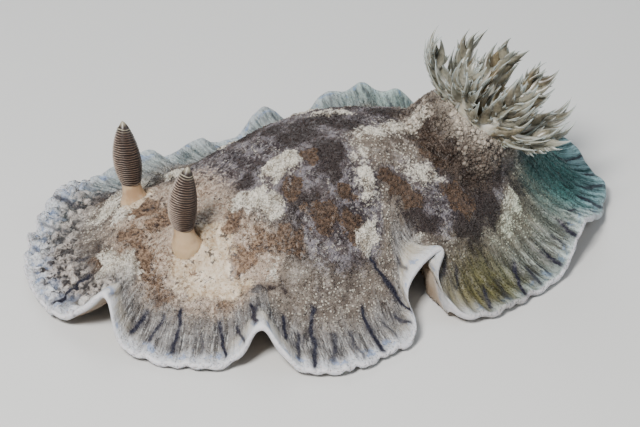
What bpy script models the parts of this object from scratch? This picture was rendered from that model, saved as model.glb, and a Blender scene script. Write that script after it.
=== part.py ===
"""A life-size sea slug with a broad frilled mantle, two ringed rhinophores and a feathery gill.

Head towards -X, tail towards +X, the animal's left side towards -Y, +Z up.
The origin is on the floor, at the middle of the foot's sole. Units are metres.
"""

import math
import random

import bmesh
import bpy
import numpy as np
from mathutils import Matrix, Vector

MM = 0.001
GAP = 0.3 * MM

# The mantle in plan: an ellipse about the origin, with frills round its margin
HALF_LENGTH = 59.0 * MM
HALF_WIDTH = 40.0 * MM
RIDGE_SHARE = 0.6
EDGE_THICKNESS = 1.3 * MM
INNER_THICKNESS = 3.0 * MM
FLOOR_CLEARANCE = 0.3 * MM
# Lowest upward share of the mantle's normal that still thickens the skirt downwards
STEEPEST = 0.35

# Height of the back above the skirt along the ridge: at the head, the middle and the gill
HEAD_RISE = 11.0 * MM
BACK_RISE = 22.5 * MM
GILL_RISE = 15.5 * MM

# Shares of the way from the ridge to the margin
SKIRT_START = 0.72
HUMP_END = 0.88
FOLD_START = 0.36
CEILING_END = 0.56
# Where the back is cut in three along X, and a reach beyond the whole body
BACK_CUT = 19.0 * MM
FAR = 80.0 * MM

# Each frill: bearing from the tail, half width, lift and inward pull of the margin, sideways lean
FRILLS = (
    (8, 8, 2.5, -1.4, 0),
    (33, 8, 6.0, 2.0, 0),
    (48, 5, 7.5, 0.7, 0),
    (57, 5, 8.3, -0.3, 0),
    (67, 7, 7.3, -0.8, 0),
    (88, 7, 6.9, 0.4, 0),
    (103, 8, 3.1, 4.0, 0),
    (115, 5, 7.5, 6.6, 0),
    (130, 6, 7.8, 5.0, 0),
    (138, 5, 4.3, 2.2, 0),
    (149, 6, 3.5, -1.9, 0),
    (195, 5, 8.7, 3.2, 1.7),
    (231, 5, 7.2, 3.0, 0),
    (281, 7, 8.6, 14.0, 2.2),
    (331, 8, 5.3, 1.5, 0),
    (351, 5, 2.2, -0.9, 0),
)
# Broad, flat departures from the ellipse: bearing, half width, reach added
SWELLS = (
    (157, 22, 4.1),
    (213, 12, 1.2),
    (248, 14, 3.6),
)

FOOT_FRONT = -41.0 * MM
FOOT_REAR = 50.0 * MM
FOOT_HALF_WIDTH = 15.0 * MM
FOOT_HEIGHT = 5.0 * MM
TAIL_CUT = 30.0 * MM

HEAD_LENGTH = 5.0 * MM
HEAD_HALF_WIDTH = 5.0 * MM
HEAD_LOW = 0.5 * MM
HEAD_HIGH = 3.6 * MM
# Turned profiles in mm, each a row of (radius, height) pairs
ORAL_LOBE = ((0.3, 0.5), (1.3, 0.8), (1.4, 1.8), (1.0, 2.8), (0.3, 3.2))
MOUTH_PORE = ((0.25, -1.4), (0.5, 0), (0.6, 1))
PAPILLA = ((2.2, 0), (1.7, 1.6), (1.3, 3.4), (0.5, 3.8))

RHINOPHORES = {
    # base in plan, lean of the axis in x and y
    "left": ((-33.8 * MM, -9.9 * MM), (0.05, 0.0)),
    "right": ((-37.5 * MM, 10.1 * MM), (-0.03, 0.2)),
}
CLUB_LENGTH = 13.0 * MM
CLUB_RADIUS = 3.0 * MM
STALK_LENGTH = 6.2 * MM
STALK_RADIUS = 1.9 * MM
POCKET_RADIUS = 2.8 * MM
POCKET_DEPTH = 2.0 * MM
# Outer profiles in mm: radius beyond the pocket's, height above the mantle
COLLAR = ((5.2, -2.8), (2.6, -0.2), (1.1, 1.3), (0.4, 1.6))
LAMELLAE = 11

GILL_PLACE = (29.5 * MM, -2.5 * MM)
GILL_LEAN = (0.72, -0.12)
GILL_RAISE = 3.5 * MM
GILL_POCKET_RADIUS = 8.5 * MM
GILL_POCKET_DEPTH = 2.4 * MM
GILL_RIM = ((3.4, -8.1), (3.1, -4.6), (2.4, -2.2), (1.3, -0.2), (0.5, 0.4))
GILL_BORE = ((0, -2.4), (0.2, -0.4), (9.0, 6.0), (9.0, 12.0))
GILL_DISC_RADIUS = 8.1 * MM
GILL_DISC_HEIGHT = 2.2 * MM
# Each plume's lean at its tip, in degrees from the gill's own axis, and its length in mm
PLUMES = ((17, 14.0), (6, 13.2), (20, 12.6), (48, 14.0), (32, 13.6), (12, 13.2), (38, 13.8), (29, 13.4))
PLUME_BEND = 9
PLUME_STEM = 3.3 * MM
PINNULE_PAIRS = 5
PINNULE_LENGTH = 5.4 * MM

COLOURS = {
    "mantle": (0.42, 0.36, 0.29, 0.45),
    "skirt": (0.62, 0.65, 0.64, 0.4),
    "foot": (0.70, 0.62, 0.50, 0.5),
    "rhinophore": (0.30, 0.22, 0.16, 0.45),
    "stalk": (0.72, 0.64, 0.52, 0.35),
    "gill": (0.66, 0.62, 0.50, 0.35),
}


def clear_scene():
    for obj in list(bpy.data.objects):
        bpy.data.objects.remove(obj, do_unlink=True)


def new_collection(name):
    collection = bpy.data.collections.new(name)
    bpy.context.scene.collection.children.link(collection)
    return collection


def material(name):
    found = bpy.data.materials.get(name)
    if found:
        return found
    made = bpy.data.materials.new(name)
    made.use_nodes = True
    shader = made.node_tree.nodes["Principled BSDF"]
    red, green, blue, roughness = COLOURS[name]
    shader.inputs["Base Color"].default_value = (red, green, blue, 1)
    shader.inputs["Roughness"].default_value = roughness
    shader.inputs["Metallic"].default_value = 0
    return made


def add_object(name, mesh, look, collection):
    obj = bpy.data.objects.new(name, mesh)
    collection.objects.link(obj)
    if look:
        mesh.materials.clear()
        mesh.materials.append(material(look))
    mesh.shade_smooth()
    mesh.set_sharp_from_angle(angle=math.radians(50))
    return obj


def smooth(value):
    held = np.clip(value, 0.0, 1.0)
    return held * held * (3 - 2 * held)


def bump(bearing, centre, half_width):
    """A bell of height 1 about a bearing, in degrees."""
    away = (bearing - centre + 180) % 360 - 180
    return math.exp(-((away / half_width) ** 2))


def ridge_rise(along):
    """Height of the back above the skirt, along the ridge from -1 at the head to 1 at the tail."""
    if along < 0:
        share = float(smooth(1 + along))
        return HEAD_RISE + (BACK_RISE - HEAD_RISE) * share
    share = float(smooth(along))
    return BACK_RISE + (GILL_RISE - BACK_RISE) * share


def ellipse_point(bearing):
    """Where a bearing from the origin meets the plain ellipse."""
    angle = math.radians(bearing)
    x, y = math.cos(angle), math.sin(angle)
    reach = 1 / math.hypot(x / HALF_LENGTH, y / HALF_WIDTH)
    return Vector((x * reach, y * reach, 0))


def margin(bearing):
    """The bearing's ridge point, its point on the plain ellipse, and the frills' lift, pull and lean."""
    lift = sum(f[2] * MM * bump(bearing, f[0], f[1]) for f in FRILLS)
    pull = sum(f[3] * MM * bump(bearing, f[0], f[1]) for f in FRILLS)
    pull -= sum(s[2] * MM * bump(bearing, s[0], s[1]) for s in SWELLS)
    lean = sum(f[4] * MM * bump(bearing, f[0], f[1]) for f in FRILLS)
    edge = ellipse_point(bearing)
    anchor = Vector((RIDGE_SHARE * edge.x, 0, 0))
    return anchor, edge, lift, pull, lean


def mantle_top(bearing, share):
    """A point of the mantle's upper side: share 0 on the ridge, 1 at the margin."""
    anchor, edge, lift, pull, lean = margin(bearing)
    outward = (edge - anchor).normalized()
    sideways = Vector((-outward.y, outward.x, 0))
    reach = max(share - FOLD_START, 0) / (1 - FOLD_START)
    fold = float(smooth(reach))
    place = anchor + (edge - anchor) * share
    place += outward * (-pull * reach**1.25) + sideways * (lean * fold**3)
    hump = 0.5 * (1 + math.cos(math.pi * min(share / HUMP_END, 1) ** 1.3))
    base = INNER_THICKNESS + (EDGE_THICKNESS - INNER_THICKNESS) * float(
        smooth((share - SKIRT_START) / (1 - SKIRT_START))
    )
    rise = ridge_rise(anchor.x / (RIDGE_SHARE * HALF_LENGTH))
    place.z = FLOOR_CLEARANCE + base + rise * hump + lift * fold**1.2
    return place


def mantle_normal(bearing, share):
    step = 0.4
    inward, outward = max(share - 0.01, 0), min(share + 0.01, 1)
    along = mantle_top(bearing + step, share) - mantle_top(bearing - step, share)
    across = mantle_top(bearing, outward) - mantle_top(bearing, inward)
    normal = across.cross(along)
    return normal.normalized()


def wall_share(bearing, side):
    """The share of the back's outer wall (side -1) or the skirt's inner wall (side 1), a gap apart."""
    across = (mantle_top(bearing, SKIRT_START + 0.01) - mantle_top(bearing, SKIRT_START - 0.01)) / 0.02
    along = mantle_top(bearing + 0.4, SKIRT_START) - mantle_top(bearing - 0.4, SKIRT_START)
    outward = Vector((along.y, -along.x, 0)).normalized()
    return SKIRT_START + side * GAP / 2 / max(abs(across.dot(outward)), 5 * MM)


def skirt_under(bearing, share):
    """A point of the skirt's underside, straight below the top and deeper where the skirt is steep."""
    reach = float(smooth((share - SKIRT_START) / (1 - SKIRT_START)))
    thickness = INNER_THICKNESS + (EDGE_THICKNESS - INNER_THICKNESS) * reach
    turn = float(smooth((share - SKIRT_START) / 0.1))
    slope = 1 + (max(mantle_normal(bearing, share).z, STEEPEST) - 1) * turn
    point = mantle_top(bearing, share)
    point.z = max(point.z - thickness / slope, FLOOR_CLEARANCE)
    return point


def loft(rings, ladder=None):
    """A closed mesh through rings of equal count.

    With ladder, each ring is a sheet's upper row, a lip point and its lower row: the ends are
    capped by a strip between the two rows, and both rows are split into triangles alike.
    """
    bm = bmesh.new()
    rows = [[bm.verts.new(p) for p in ring] for ring in rings]
    count = len(rings[0])
    for first, second in zip(rows, rows[1:]):
        for i in range(count):
            j = (i + 1) % count
            if ladder and i >= ladder:
                bm.faces.new((first[i], first[j], second[i]))
                bm.faces.new((first[j], second[j], second[i]))
            elif ladder:
                bm.faces.new((first[i], first[j], second[j]))
                bm.faces.new((first[i], second[j], second[i]))
            else:
                bm.faces.new((first[i], first[j], second[j], second[i]))
    for row in (rows[0], rows[-1]):
        if ladder:
            for i in range(ladder - 1):
                a, b = row[i], row[i + 1]
                c, d = row[count - 2 - i], row[count - 1 - i]
                bm.faces.new((a, b, c, d))
            if count > 2 * ladder:
                bm.faces.new(row[ladder - 1 : count - ladder + 1])
        else:
            bm.faces.new(row)
    bmesh.ops.triangulate(bm, faces=list(bm.faces))
    bmesh.ops.recalc_face_normals(bm, faces=list(bm.faces))
    mesh = bpy.data.meshes.new("loft")
    bm.to_mesh(mesh)
    bm.free()
    return mesh


def apply_boolean(obj, operation, others, solver="EXACT"):
    """Joins, cuts or keeps obj by the meshes in others, which are then removed."""
    tools = bpy.data.collections.new("tools")
    bpy.context.scene.collection.children.link(tools)
    for other in others:
        for holder in list(other.users_collection):
            holder.objects.unlink(other)
        tools.objects.link(other)
    modifier = obj.modifiers.new(operation.lower(), "BOOLEAN")
    modifier.operation = operation
    modifier.operand_type = "COLLECTION"
    modifier.collection = tools
    modifier.solver = solver
    bpy.context.view_layer.update()
    graph = bpy.context.evaluated_depsgraph_get()
    mesh = bpy.data.meshes.new_from_object(obj.evaluated_get(graph))
    obj.modifiers.clear()
    obj.data = mesh
    for other in others:
        bpy.data.objects.remove(other, do_unlink=True)
    bpy.data.collections.remove(tools)
    keep_largest(mesh)


def keep_largest(mesh):
    """Leaves only the largest closed surface of a mesh."""
    bm = bmesh.new()
    bm.from_mesh(mesh)
    bm.faces.ensure_lookup_table()
    unseen = set(bm.faces)
    shells = []
    while unseen:
        shell, queue = [], [unseen.pop()]
        while queue:
            face = queue.pop()
            shell.append(face)
            for edge in face.edges:
                for near in edge.link_faces:
                    if near in unseen:
                        unseen.discard(near)
                        queue.append(near)
        shells.append(shell)
    shells.sort(key=lambda faces: -sum(f.calc_area() for f in faces))
    for shell in shells[1:]:
        bmesh.ops.delete(bm, geom=shell, context="FACES")
    bm.to_mesh(mesh)
    bm.free()


def box_cutter(low, high):
    bm = bmesh.new()
    bmesh.ops.create_cube(bm, size=1)
    size = Vector(high) - Vector(low)
    bmesh.ops.scale(bm, vec=size, verts=bm.verts)
    bmesh.ops.translate(bm, vec=(Vector(high) + Vector(low)) / 2, verts=bm.verts)
    mesh = bpy.data.meshes.new("box")
    bm.to_mesh(mesh)
    bm.free()
    return bpy.data.objects.new("box", mesh)


def axis_frame(origin, axis):
    """A matrix with its origin at a point and its Z along an axis."""
    turn = Vector((0, 0, 1)).rotation_difference(Vector(axis).normalized())
    return Matrix.Translation(origin) @ turn.to_matrix().to_4x4()


def turned(profile, frame, sides):
    """A closed turned shape about the frame's Z, from (radius, height) pairs that run upwards."""
    outline = [(0, profile[0][1])] + list(profile) + [(0, profile[-1][1])]
    points = [(radius, 0, height) for radius, height in reversed(outline)]
    mesh = bpy.data.meshes.new("profile")
    mesh.from_pydata(points, [(i, i + 1) for i in range(len(points) - 1)], [])
    obj = bpy.data.objects.new("profile", mesh)
    bpy.context.scene.collection.objects.link(obj)
    screw = obj.modifiers.new("turn", "SCREW")
    screw.steps = screw.render_steps = sides
    screw.use_merge_vertices = True
    screw.merge_threshold = 0.00001
    bpy.context.view_layer.update()
    solid = bpy.data.meshes.new_from_object(obj.evaluated_get(bpy.context.evaluated_depsgraph_get()))
    bpy.data.objects.remove(obj, do_unlink=True)
    solid.transform(frame)
    return solid


def hump_block():
    """The back of the mantle as one closed mesh, from the ridge out to where the skirt starts."""
    rows, crest = 7, 0.05
    bearings = []
    for start, end in SKIRTS.values():
        bearings += skirt_bearings(start, end)[:-1]
    steps = len(bearings)
    bm = bmesh.new()
    top, under = [], []
    for bearing in bearings:
        wall = wall_share(bearing, -1)
        shares = [crest + (wall - crest) * i / rows for i in range(rows + 1)]
        top.append([bm.verts.new(mantle_top(bearing, share)) for share in shares])
        brim = mantle_top(bearing, wall) - Vector((0, 0, INNER_THICKNESS))
        ceiling = mantle_top(bearing, CEILING_END)
        ceiling.z = FOOT_HEIGHT + GAP
        under.append([bm.verts.new(ceiling), bm.verts.new(brim)])
    for j in range(steps):
        k = (j + 1) % steps
        for i in range(rows):
            bm.faces.new((top[j][i], top[j][i + 1], top[k][i + 1], top[k][i]))
        bm.faces.new((under[j][0], under[k][0], under[k][1], under[j][1]))
        bm.faces.new((top[j][rows], under[j][1], under[k][1], top[k][rows]))
    bm.faces.new([row[0] for row in top])
    bm.faces.new([row[0] for row in under])
    bmesh.ops.triangulate(bm, faces=list(bm.faces))
    bmesh.ops.recalc_face_normals(bm, faces=list(bm.faces))
    mesh = bpy.data.meshes.new("hump")
    bm.to_mesh(mesh)
    bm.free()
    return mesh


def surface_height(x, y):
    """Height of the mantle's upper side over a point of the plan, found along the point's own bearing."""
    low, high = 0.0, 180.0
    flip = -1 if y < 0 else 1
    for _ in range(40):
        middle = (low + high) / 2
        edge = ellipse_point(middle)
        anchor = Vector((RIDGE_SHARE * edge.x, 0, 0))
        span = edge - anchor
        away = Vector((x, abs(y), 0)) - anchor
        if span.x * away.y - span.y * away.x > 0:
            low = middle
        else:
            high = middle
    share = away.length / span.length
    return mantle_top(flip * (low + high) / 2, share).z


def rhinophore_frame(side):
    (x, y), (lean_x, lean_y) = RHINOPHORES[side]
    return axis_frame(Vector((x, y, surface_height(x, y))), (lean_x, lean_y, 1))


def gill_frame():
    x, y = GILL_PLACE
    axis = Vector((*GILL_LEAN, 1)).normalized()
    return axis_frame(Vector((x, y, surface_height(x, y))) + axis * GILL_RAISE, axis)


def build_back(collection):
    """The back, with the raised collars and pockets of the rhinophores and gill, in three lengths."""
    hump = add_object("hump", hump_block(), "mantle", collection)
    collars, pockets = [], []
    for side in RHINOPHORES:
        frame = rhinophore_frame(side)
        collar = [(POCKET_RADIUS + radius * MM, height * MM) for radius, height in COLLAR]
        collars.append(bpy.data.objects.new("collar", turned(collar, frame, 20)))
        bore = [(POCKET_RADIUS, -POCKET_DEPTH), (POCKET_RADIUS, POCKET_DEPTH * 2)]
        pockets.append(bpy.data.objects.new("pocket", turned(bore, frame, 20)))
    frame = gill_frame()
    rim = [(GILL_POCKET_RADIUS + radius * MM, height * MM) for radius, height in GILL_RIM]
    collars.append(bpy.data.objects.new("rim", turned(rim, frame, 28)))
    bore = [(GILL_POCKET_RADIUS + radius * MM, height * MM) for radius, height in GILL_BORE]
    pockets.append(bpy.data.objects.new("pocket", turned(bore, frame, 28)))
    apply_boolean(hump, "UNION", collars)
    apply_boolean(hump, "DIFFERENCE", pockets)
    for name, start, end in (("back_head", -FAR, -BACK_CUT), ("back_middle", -BACK_CUT, BACK_CUT),
                             ("back_gill", BACK_CUT, FAR)):
        piece = add_object(name, hump.data.copy(), "mantle", collection)
        keep = box_cutter((start + GAP / 2, -FAR, -FAR), (end - GAP / 2, FAR, FAR))
        apply_boolean(piece, "INTERSECT", [keep])
    bpy.data.objects.remove(hump, do_unlink=True)


def skirt_bearings(start, end):
    """Bearings along a length of skirt, closer together where a frill is steep."""
    found, bearing = [start], start
    while bearing < end - 0.01:
        steep = max(abs(f[2]) * bump(bearing, f[0], f[1] * 1.6) / f[1] for f in FRILLS)
        bearing += 4.6 / (1 + 1.1 * steep)
        found.append(min(bearing, end))
    if end - found[-2] < 0.8:
        found.pop(-2)
    return found


def build_skirt(name, start, end, collection):
    """One length of the frilled skirt, a wavy sheet lofted along the margin."""
    rows = 5
    bearings = skirt_bearings(start, end)
    bearings[0] += math.degrees(GAP * 0.6 / ellipse_point(start).length)
    bearings[-1] -= math.degrees(GAP * 0.6 / ellipse_point(end).length)
    rings = []
    for bearing in bearings:
        anchor, edge, *_ = margin(bearing)
        first = wall_share(bearing, 1)
        shares = [first + (1 - first) * i / (rows - 1) for i in range(rows)]
        top = [mantle_top(bearing, s) for s in shares]
        under = [skirt_under(bearing, s) for s in shares]
        outward = (edge - anchor).normalized()
        lip = (top[-1] + under[-1]) / 2 + outward * EDGE_THICKNESS * 0.35
        rings.append(top + [lip] + under[::-1])
    add_object(name, loft(rings, ladder=rows), "skirt", collection)


SKIRTS = {
    "skirt_tail": (-14, 22),
    "skirt_right_rear": (22, 74),
    "skirt_right_middle": (74, 110),
    "skirt_right_front": (110, 152),
    "skirt_head": (152, 206),
    "skirt_left_front": (206, 256),
    "skirt_left_middle": (256, 306),
    "skirt_left_rear": (306, 346),
}


def foot_ring(height, spread, sides=56):
    """A level outline of the foot, blunt at the head and drawn out to the tail."""
    middle = (FOOT_FRONT + FOOT_REAR) / 2
    half = (FOOT_REAR - FOOT_FRONT) / 2
    ring = []
    for k in range(sides):
        angle = 2 * math.pi * k / sides
        along = math.cos(angle)
        across = math.sin(angle)
        blunt = 2.6 if along < 0 else 1.8
        x = middle + math.copysign(abs(along) ** (2 / blunt), along) * (half + spread)
        y = math.copysign(abs(across) ** (2 / blunt), across) * (FOOT_HALF_WIDTH + spread)
        ring.append(Vector((x, y, height)))
    return ring


def build_foot(collection):
    """The broad creeping sole and its tail end."""
    levels = ((0, -0.6), (0.7, 0), (1.5, -0.4), (2.6, -1.6), (FOOT_HEIGHT / MM, -2.0))
    mesh = loft([foot_ring(z * MM, spread * MM) for z, spread in levels])
    foot = add_object("whole_foot", mesh, "foot", collection)
    for name, start, end in (("foot", -FAR, TAIL_CUT), ("foot_tail", TAIL_CUT, FAR)):
        piece = add_object(name, foot.data.copy(), "foot", collection)
        keep = box_cutter((start + GAP / 2, -FAR, -FAR), (end - GAP / 2, FAR, FAR))
        apply_boolean(piece, "INTERSECT", [keep])
    bpy.data.objects.remove(foot, do_unlink=True)


def build_head(collection):
    """The small head under the mantle's front, with its pore of a mouth and two blunt oral lobes."""
    front = FOOT_FRONT - GAP
    middle, half_height = (HEAD_LOW + HEAD_HIGH) / 2, (HEAD_HIGH - HEAD_LOW) / 2
    rows, sides = 6, 16
    rings = []
    for k in range(rows + 1):
        share = k / rows
        swell = math.sqrt(max(1 - (share * 0.96) ** 2, 0.05))
        ring = []
        for m in range(sides):
            angle = 2 * math.pi * m / sides
            y = HEAD_HALF_WIDTH * swell * math.cos(angle)
            z = middle + half_height * swell * math.sin(angle)
            ring.append(Vector((front - HEAD_LENGTH * share, y, z)))
        rings.append(ring)
    head = add_object("head", loft(rings), "foot", collection)
    mouth = axis_frame(Vector((front - HEAD_LENGTH, 0, middle)), (-1, 0, 0))
    pore = [(radius * MM, height * MM) for radius, height in MOUTH_PORE]
    apply_boolean(head, "DIFFERENCE", [bpy.data.objects.new("pore", turned(pore, mouth, 10))])
    for side, sign in (("left", -1), ("right", 1)):
        base = Vector((front, sign * (HEAD_HALF_WIDTH + 2.0 * MM), 2.0 * MM))
        frame = axis_frame(base, (-1, 0.35 * sign, 0))
        lobe = [(radius * MM, height * MM) for radius, height in ORAL_LOBE]
        add_object(f"oral_lobe_{side}", turned(lobe, frame, 12), "foot", collection)


def build_rhinophore(side, collection):
    """One rhinophore: a smooth stalk in its pocket, and a club ringed with lamellae."""
    frame = rhinophore_frame(side)
    floor = -POCKET_DEPTH + GAP
    stalk = [
        (STALK_RADIUS * 1.25, floor),
        (STALK_RADIUS * 1.15, floor + 0.35 * STALK_LENGTH),
        (STALK_RADIUS, floor + 0.75 * STALK_LENGTH),
        (STALK_RADIUS * 1.02, floor + STALK_LENGTH),
    ]
    add_object(f"rhinophore_stalk_{side}", turned(stalk, frame, 18), "stalk", collection)
    root = floor + STALK_LENGTH + GAP
    profile = [(STALK_RADIUS * 1.02, root)]
    for k in range(LAMELLAE):
        for share, proud in (((k + 0.45) / LAMELLAE, 1.0), ((k + 0.95) / LAMELLAE, 0.84)):
            club = math.sin(math.pi * (0.20 + 0.74 * share)) ** 0.8 * (1 - 0.15 * share)
            profile.append((CLUB_RADIUS * club * proud, root + CLUB_LENGTH * 0.92 * share))
    profile.append((0.3 * MM, root + CLUB_LENGTH))
    add_object(f"rhinophore_{side}", turned(profile, frame, 16), "rhinophore", collection)


def vane(points, widths, thicknesses, facing):
    """A tapered blade through points, diamond in section, with its flat side turned to facing."""
    rings = []
    for i, point in enumerate(points):
        ahead = points[min(i + 1, len(points) - 1)] - points[max(i - 1, 0)]
        ahead.normalize()
        across = ahead.cross(facing).normalized()
        face = across.cross(ahead).normalized()
        w, t = widths[i] / 2, thicknesses[i] / 2
        rings.append([point + across * w, point + face * t, point - across * w, point - face * t])
    return loft(rings)


def build_plume(index, collection):
    """One branching leaf of the gill: a fleshy tapered stem with pointed pinnules on both sides."""
    rng = random.Random(100 + index)
    lean, length = PLUMES[index][0], PLUMES[index][1] * MM
    bearing = 2 * math.pi * (index + 0.5) / len(PLUMES)
    outward = Vector((math.cos(bearing), math.sin(bearing), 0))
    sideways = Vector((-outward.y, outward.x, 0))
    up = Vector((0, 0, 1))
    bend = math.radians(PLUME_BEND + rng.uniform(-2, 2))
    splay = math.radians(lean) + bend * 0.8
    height = -GILL_POCKET_DEPTH + GAP + GILL_DISC_HEIGHT + GAP
    root = outward * (GILL_DISC_RADIUS - PLUME_STEM * 0.55) + up * height

    def stem(share):
        """A point of the stem, which first leans out and then curls back up towards its tip."""
        turn = splay + bend * math.sin(math.pi * share) - bend * 0.8 * share
        return root + (outward * math.sin(turn) + up * math.cos(turn)) * (length * share)

    shares = [0, 0.1, 0.28, 0.5, 0.75, 1.0]
    rings = []
    for share in shares:
        point = stem(share)
        ahead = (stem(min(share + 0.05, 1)) - stem(max(share - 0.05, 0))).normalized()
        face = sideways.cross(ahead).normalized()
        wide = PLUME_STEM * (1 - share) ** 0.8 + 0.45 * MM
        ring = []
        for k in range(6):
            angle = 2 * math.pi * k / 6
            spot = point + sideways * (wide / 2 * math.cos(angle)) + face * (wide * 0.36 * math.sin(angle))
            if share == 0:
                spot.z = height
            ring.append(spot)
        rings.append(ring)
    plume = bpy.data.objects.new(f"gill_plume_{index + 1}", loft(rings))
    collection.objects.link(plume)
    pinnules = []
    for pair in range(PINNULE_PAIRS):
        share = 0.14 + 0.64 * pair / (PINNULE_PAIRS - 1)
        place = stem(share)
        ahead = (stem(share + 0.05) - stem(share - 0.05)).normalized()
        face = sideways.cross(ahead).normalized()
        room = place.dot(outward) * math.tan(math.pi / len(PLUMES)) - 0.5 * MM
        reach = min(PINNULE_LENGTH * (1.05 - 0.55 * share) * rng.uniform(0.9, 1.1), room)
        for sign in (-1, 1):
            side = reach * rng.uniform(0.82, 1.0)
            rise = PINNULE_LENGTH * rng.uniform(0.85, 1.1)
            start = place - sideways * (sign * 0.3 * MM) - ahead * 0.6 * MM
            mid = place + sideways * (sign * side * 0.75) + ahead * rise * 0.4
            tip = place + sideways * (sign * side) + ahead * rise + face * rise * 0.2
            widths = (2.2 * MM, 2.0 * MM, 0.3 * MM)
            blade = vane((start, mid, tip), widths, (1.3 * MM, 0.9 * MM, 0.25 * MM), face)
            pinnules.append(bpy.data.objects.new("pinnule", blade))
    apply_boolean(plume, "UNION", pinnules, solver="MANIFOLD")
    plume.data.transform(gill_frame())
    plume.data.materials.clear()
    plume.data.materials.append(material("gill"))


def build_gill(collection):
    """The gill's disc, its plumes in a ring, and the anal papilla at their centre."""
    frame = gill_frame()
    floor = -GILL_POCKET_DEPTH + GAP
    disc = [(GILL_DISC_RADIUS, floor), (GILL_DISC_RADIUS, floor + GILL_DISC_HEIGHT)]
    add_object("gill_disc", turned(disc, frame, 28), "gill", collection)
    base = floor + GILL_DISC_HEIGHT + GAP
    papilla = [(radius * MM, base + height * MM) for radius, height in PAPILLA]
    add_object("anal_papilla", turned(papilla, frame, 14), "gill", collection)
    for index in range(len(PLUMES)):
        build_plume(index, collection)


def main():
    clear_scene()
    slug = new_collection("sea_slug")
    build_back(slug)
    for name, (start, end) in SKIRTS.items():
        build_skirt(name, start, end, slug)
    build_foot(slug)
    build_head(slug)
    for side in RHINOPHORES:
        build_rhinophore(side, slug)
    build_gill(slug)


main()
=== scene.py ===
import math
import random

import bmesh
import bpy
import numpy as np
from mathutils import Matrix, Vector, noise


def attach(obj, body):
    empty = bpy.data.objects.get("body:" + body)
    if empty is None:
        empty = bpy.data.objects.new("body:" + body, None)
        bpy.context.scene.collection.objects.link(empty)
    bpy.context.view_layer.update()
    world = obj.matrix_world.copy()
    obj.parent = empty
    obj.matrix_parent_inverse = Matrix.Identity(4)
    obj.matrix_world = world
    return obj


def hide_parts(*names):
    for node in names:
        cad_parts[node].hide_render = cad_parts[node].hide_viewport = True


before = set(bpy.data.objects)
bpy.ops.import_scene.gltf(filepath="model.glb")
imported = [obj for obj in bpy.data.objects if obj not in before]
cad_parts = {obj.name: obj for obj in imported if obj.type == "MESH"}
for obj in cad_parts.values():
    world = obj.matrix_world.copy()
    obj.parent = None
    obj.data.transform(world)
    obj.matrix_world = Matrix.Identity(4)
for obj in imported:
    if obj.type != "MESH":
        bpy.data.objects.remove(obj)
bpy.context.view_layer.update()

mm = 0.001

# What every piece uses

def smooth(value):
    # 0 to 1 with soft ends
    held = np.clip(value, 0.0, 1.0)
    return held * held * (3 - 2 * held)


def step(value, low, high):
    return smooth((np.asarray(value, float) - low) / (high - low))


def fade(value, low, high):
    return 1 - step(value, low, high)


def unit(vectors):
    return vectors / np.maximum(np.linalg.norm(vectors, axis=-1, keepdims=True), 1e-12)


def wrapped(degrees):
    return (degrees + 180) % 360 - 180


def bells(bearing, rows, column):
    # sum of bells round the margin, each row being centre, half width, then its amounts
    total = np.zeros_like(bearing)
    for row in rows:
        total += row[column] * np.exp(-((wrapped(bearing - row[0]) / row[1]) ** 2))
    return total


def frameAt(origin, axis):
    turn = Vector((0, 0, 1)).rotation_difference(Vector(axis).normalized())
    return Matrix.Translation(Vector(origin)) @ turn.to_matrix().to_4x4()


def newPiece(name, verts, faces):
    # a mesh object at the origin, from places in mm
    mesh = bpy.data.meshes.new(name)
    mesh.from_pydata((np.asarray(verts) * mm).tolist(), [], faces)
    mesh.update()
    piece = bpy.data.objects.new(name, mesh)
    bpy.context.scene.collection.objects.link(piece)
    return piece


def tidyPiece(piece, mergeAt=1e-6):
    tool = bmesh.new()
    tool.from_mesh(piece.data)
    bmesh.ops.remove_doubles(tool, verts=tool.verts, dist=mergeAt)
    bmesh.ops.dissolve_degenerate(tool, edges=tool.edges, dist=mergeAt)
    bmesh.ops.recalc_face_normals(tool, faces=tool.faces)
    tool.to_mesh(piece.data)
    tool.free()
    piece.data.shade_smooth()


def storeField(mesh, name, values, kind="FLOAT", key="value"):
    layer = mesh.attributes.new(name, kind, "POINT")
    layer.data.foreach_set(key, np.ascontiguousarray(values, np.float32).ravel())


# Helpers for node trees

def feed(tree, socket, value):
    # links a socket to another one, or sets its value
    if isinstance(value, bpy.types.NodeSocket):
        tree.links.new(value, socket)
    else:
        socket.default_value = value


def addNode(tree, kind, inputs=None, **settings):
    node = tree.nodes.new(kind)
    for name, value in settings.items():
        setattr(node, name, value)
    for key, value in (inputs or {}).items():
        feed(tree, node.inputs[key], value)
    return node


def calc(tree, operation, first, second=0.0, third=0.0):
    return addNode(tree, "ShaderNodeMath", {0: first, 1: second, 2: third}, operation=operation).outputs[0]


def times(tree, first, second, plus=None):
    # first x second, and then plus a third where there is one
    if plus is None:
        return calc(tree, "MULTIPLY", first, second)
    return calc(tree, "MULTIPLY_ADD", first, second, plus)


def centred(tree, value):
    return calc(tree, "SUBTRACT", value, 0.5)


def ramp(tree, value, low, high, start=0.0, end=1.0):
    # runs softly from start, where the value is low, to end, where it is high
    node = addNode(tree, "ShaderNodeMapRange",
                   {"Value": value, "From Min": low, "From Max": high, "To Min": start, "To Max": end},
                   interpolation_type="SMOOTHSTEP")
    return node.outputs["Result"]


def mixed(tree, factor, first, second, blend="MIX"):
    node = addNode(tree, "ShaderNodeMix", {0: factor}, data_type="RGBA", blend_type=blend)
    for index, value in ((6, first), (7, second)):
        feed(tree, node.inputs[index], value if isinstance(value, bpy.types.NodeSocket) else (*value, 1))
    return node.outputs[2]


def laidOver(tree, colour, over, amount, most):
    # a colour laid over another where amount says, at most so much
    return mixed(tree, times(tree, amount, most), colour, over)


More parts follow.
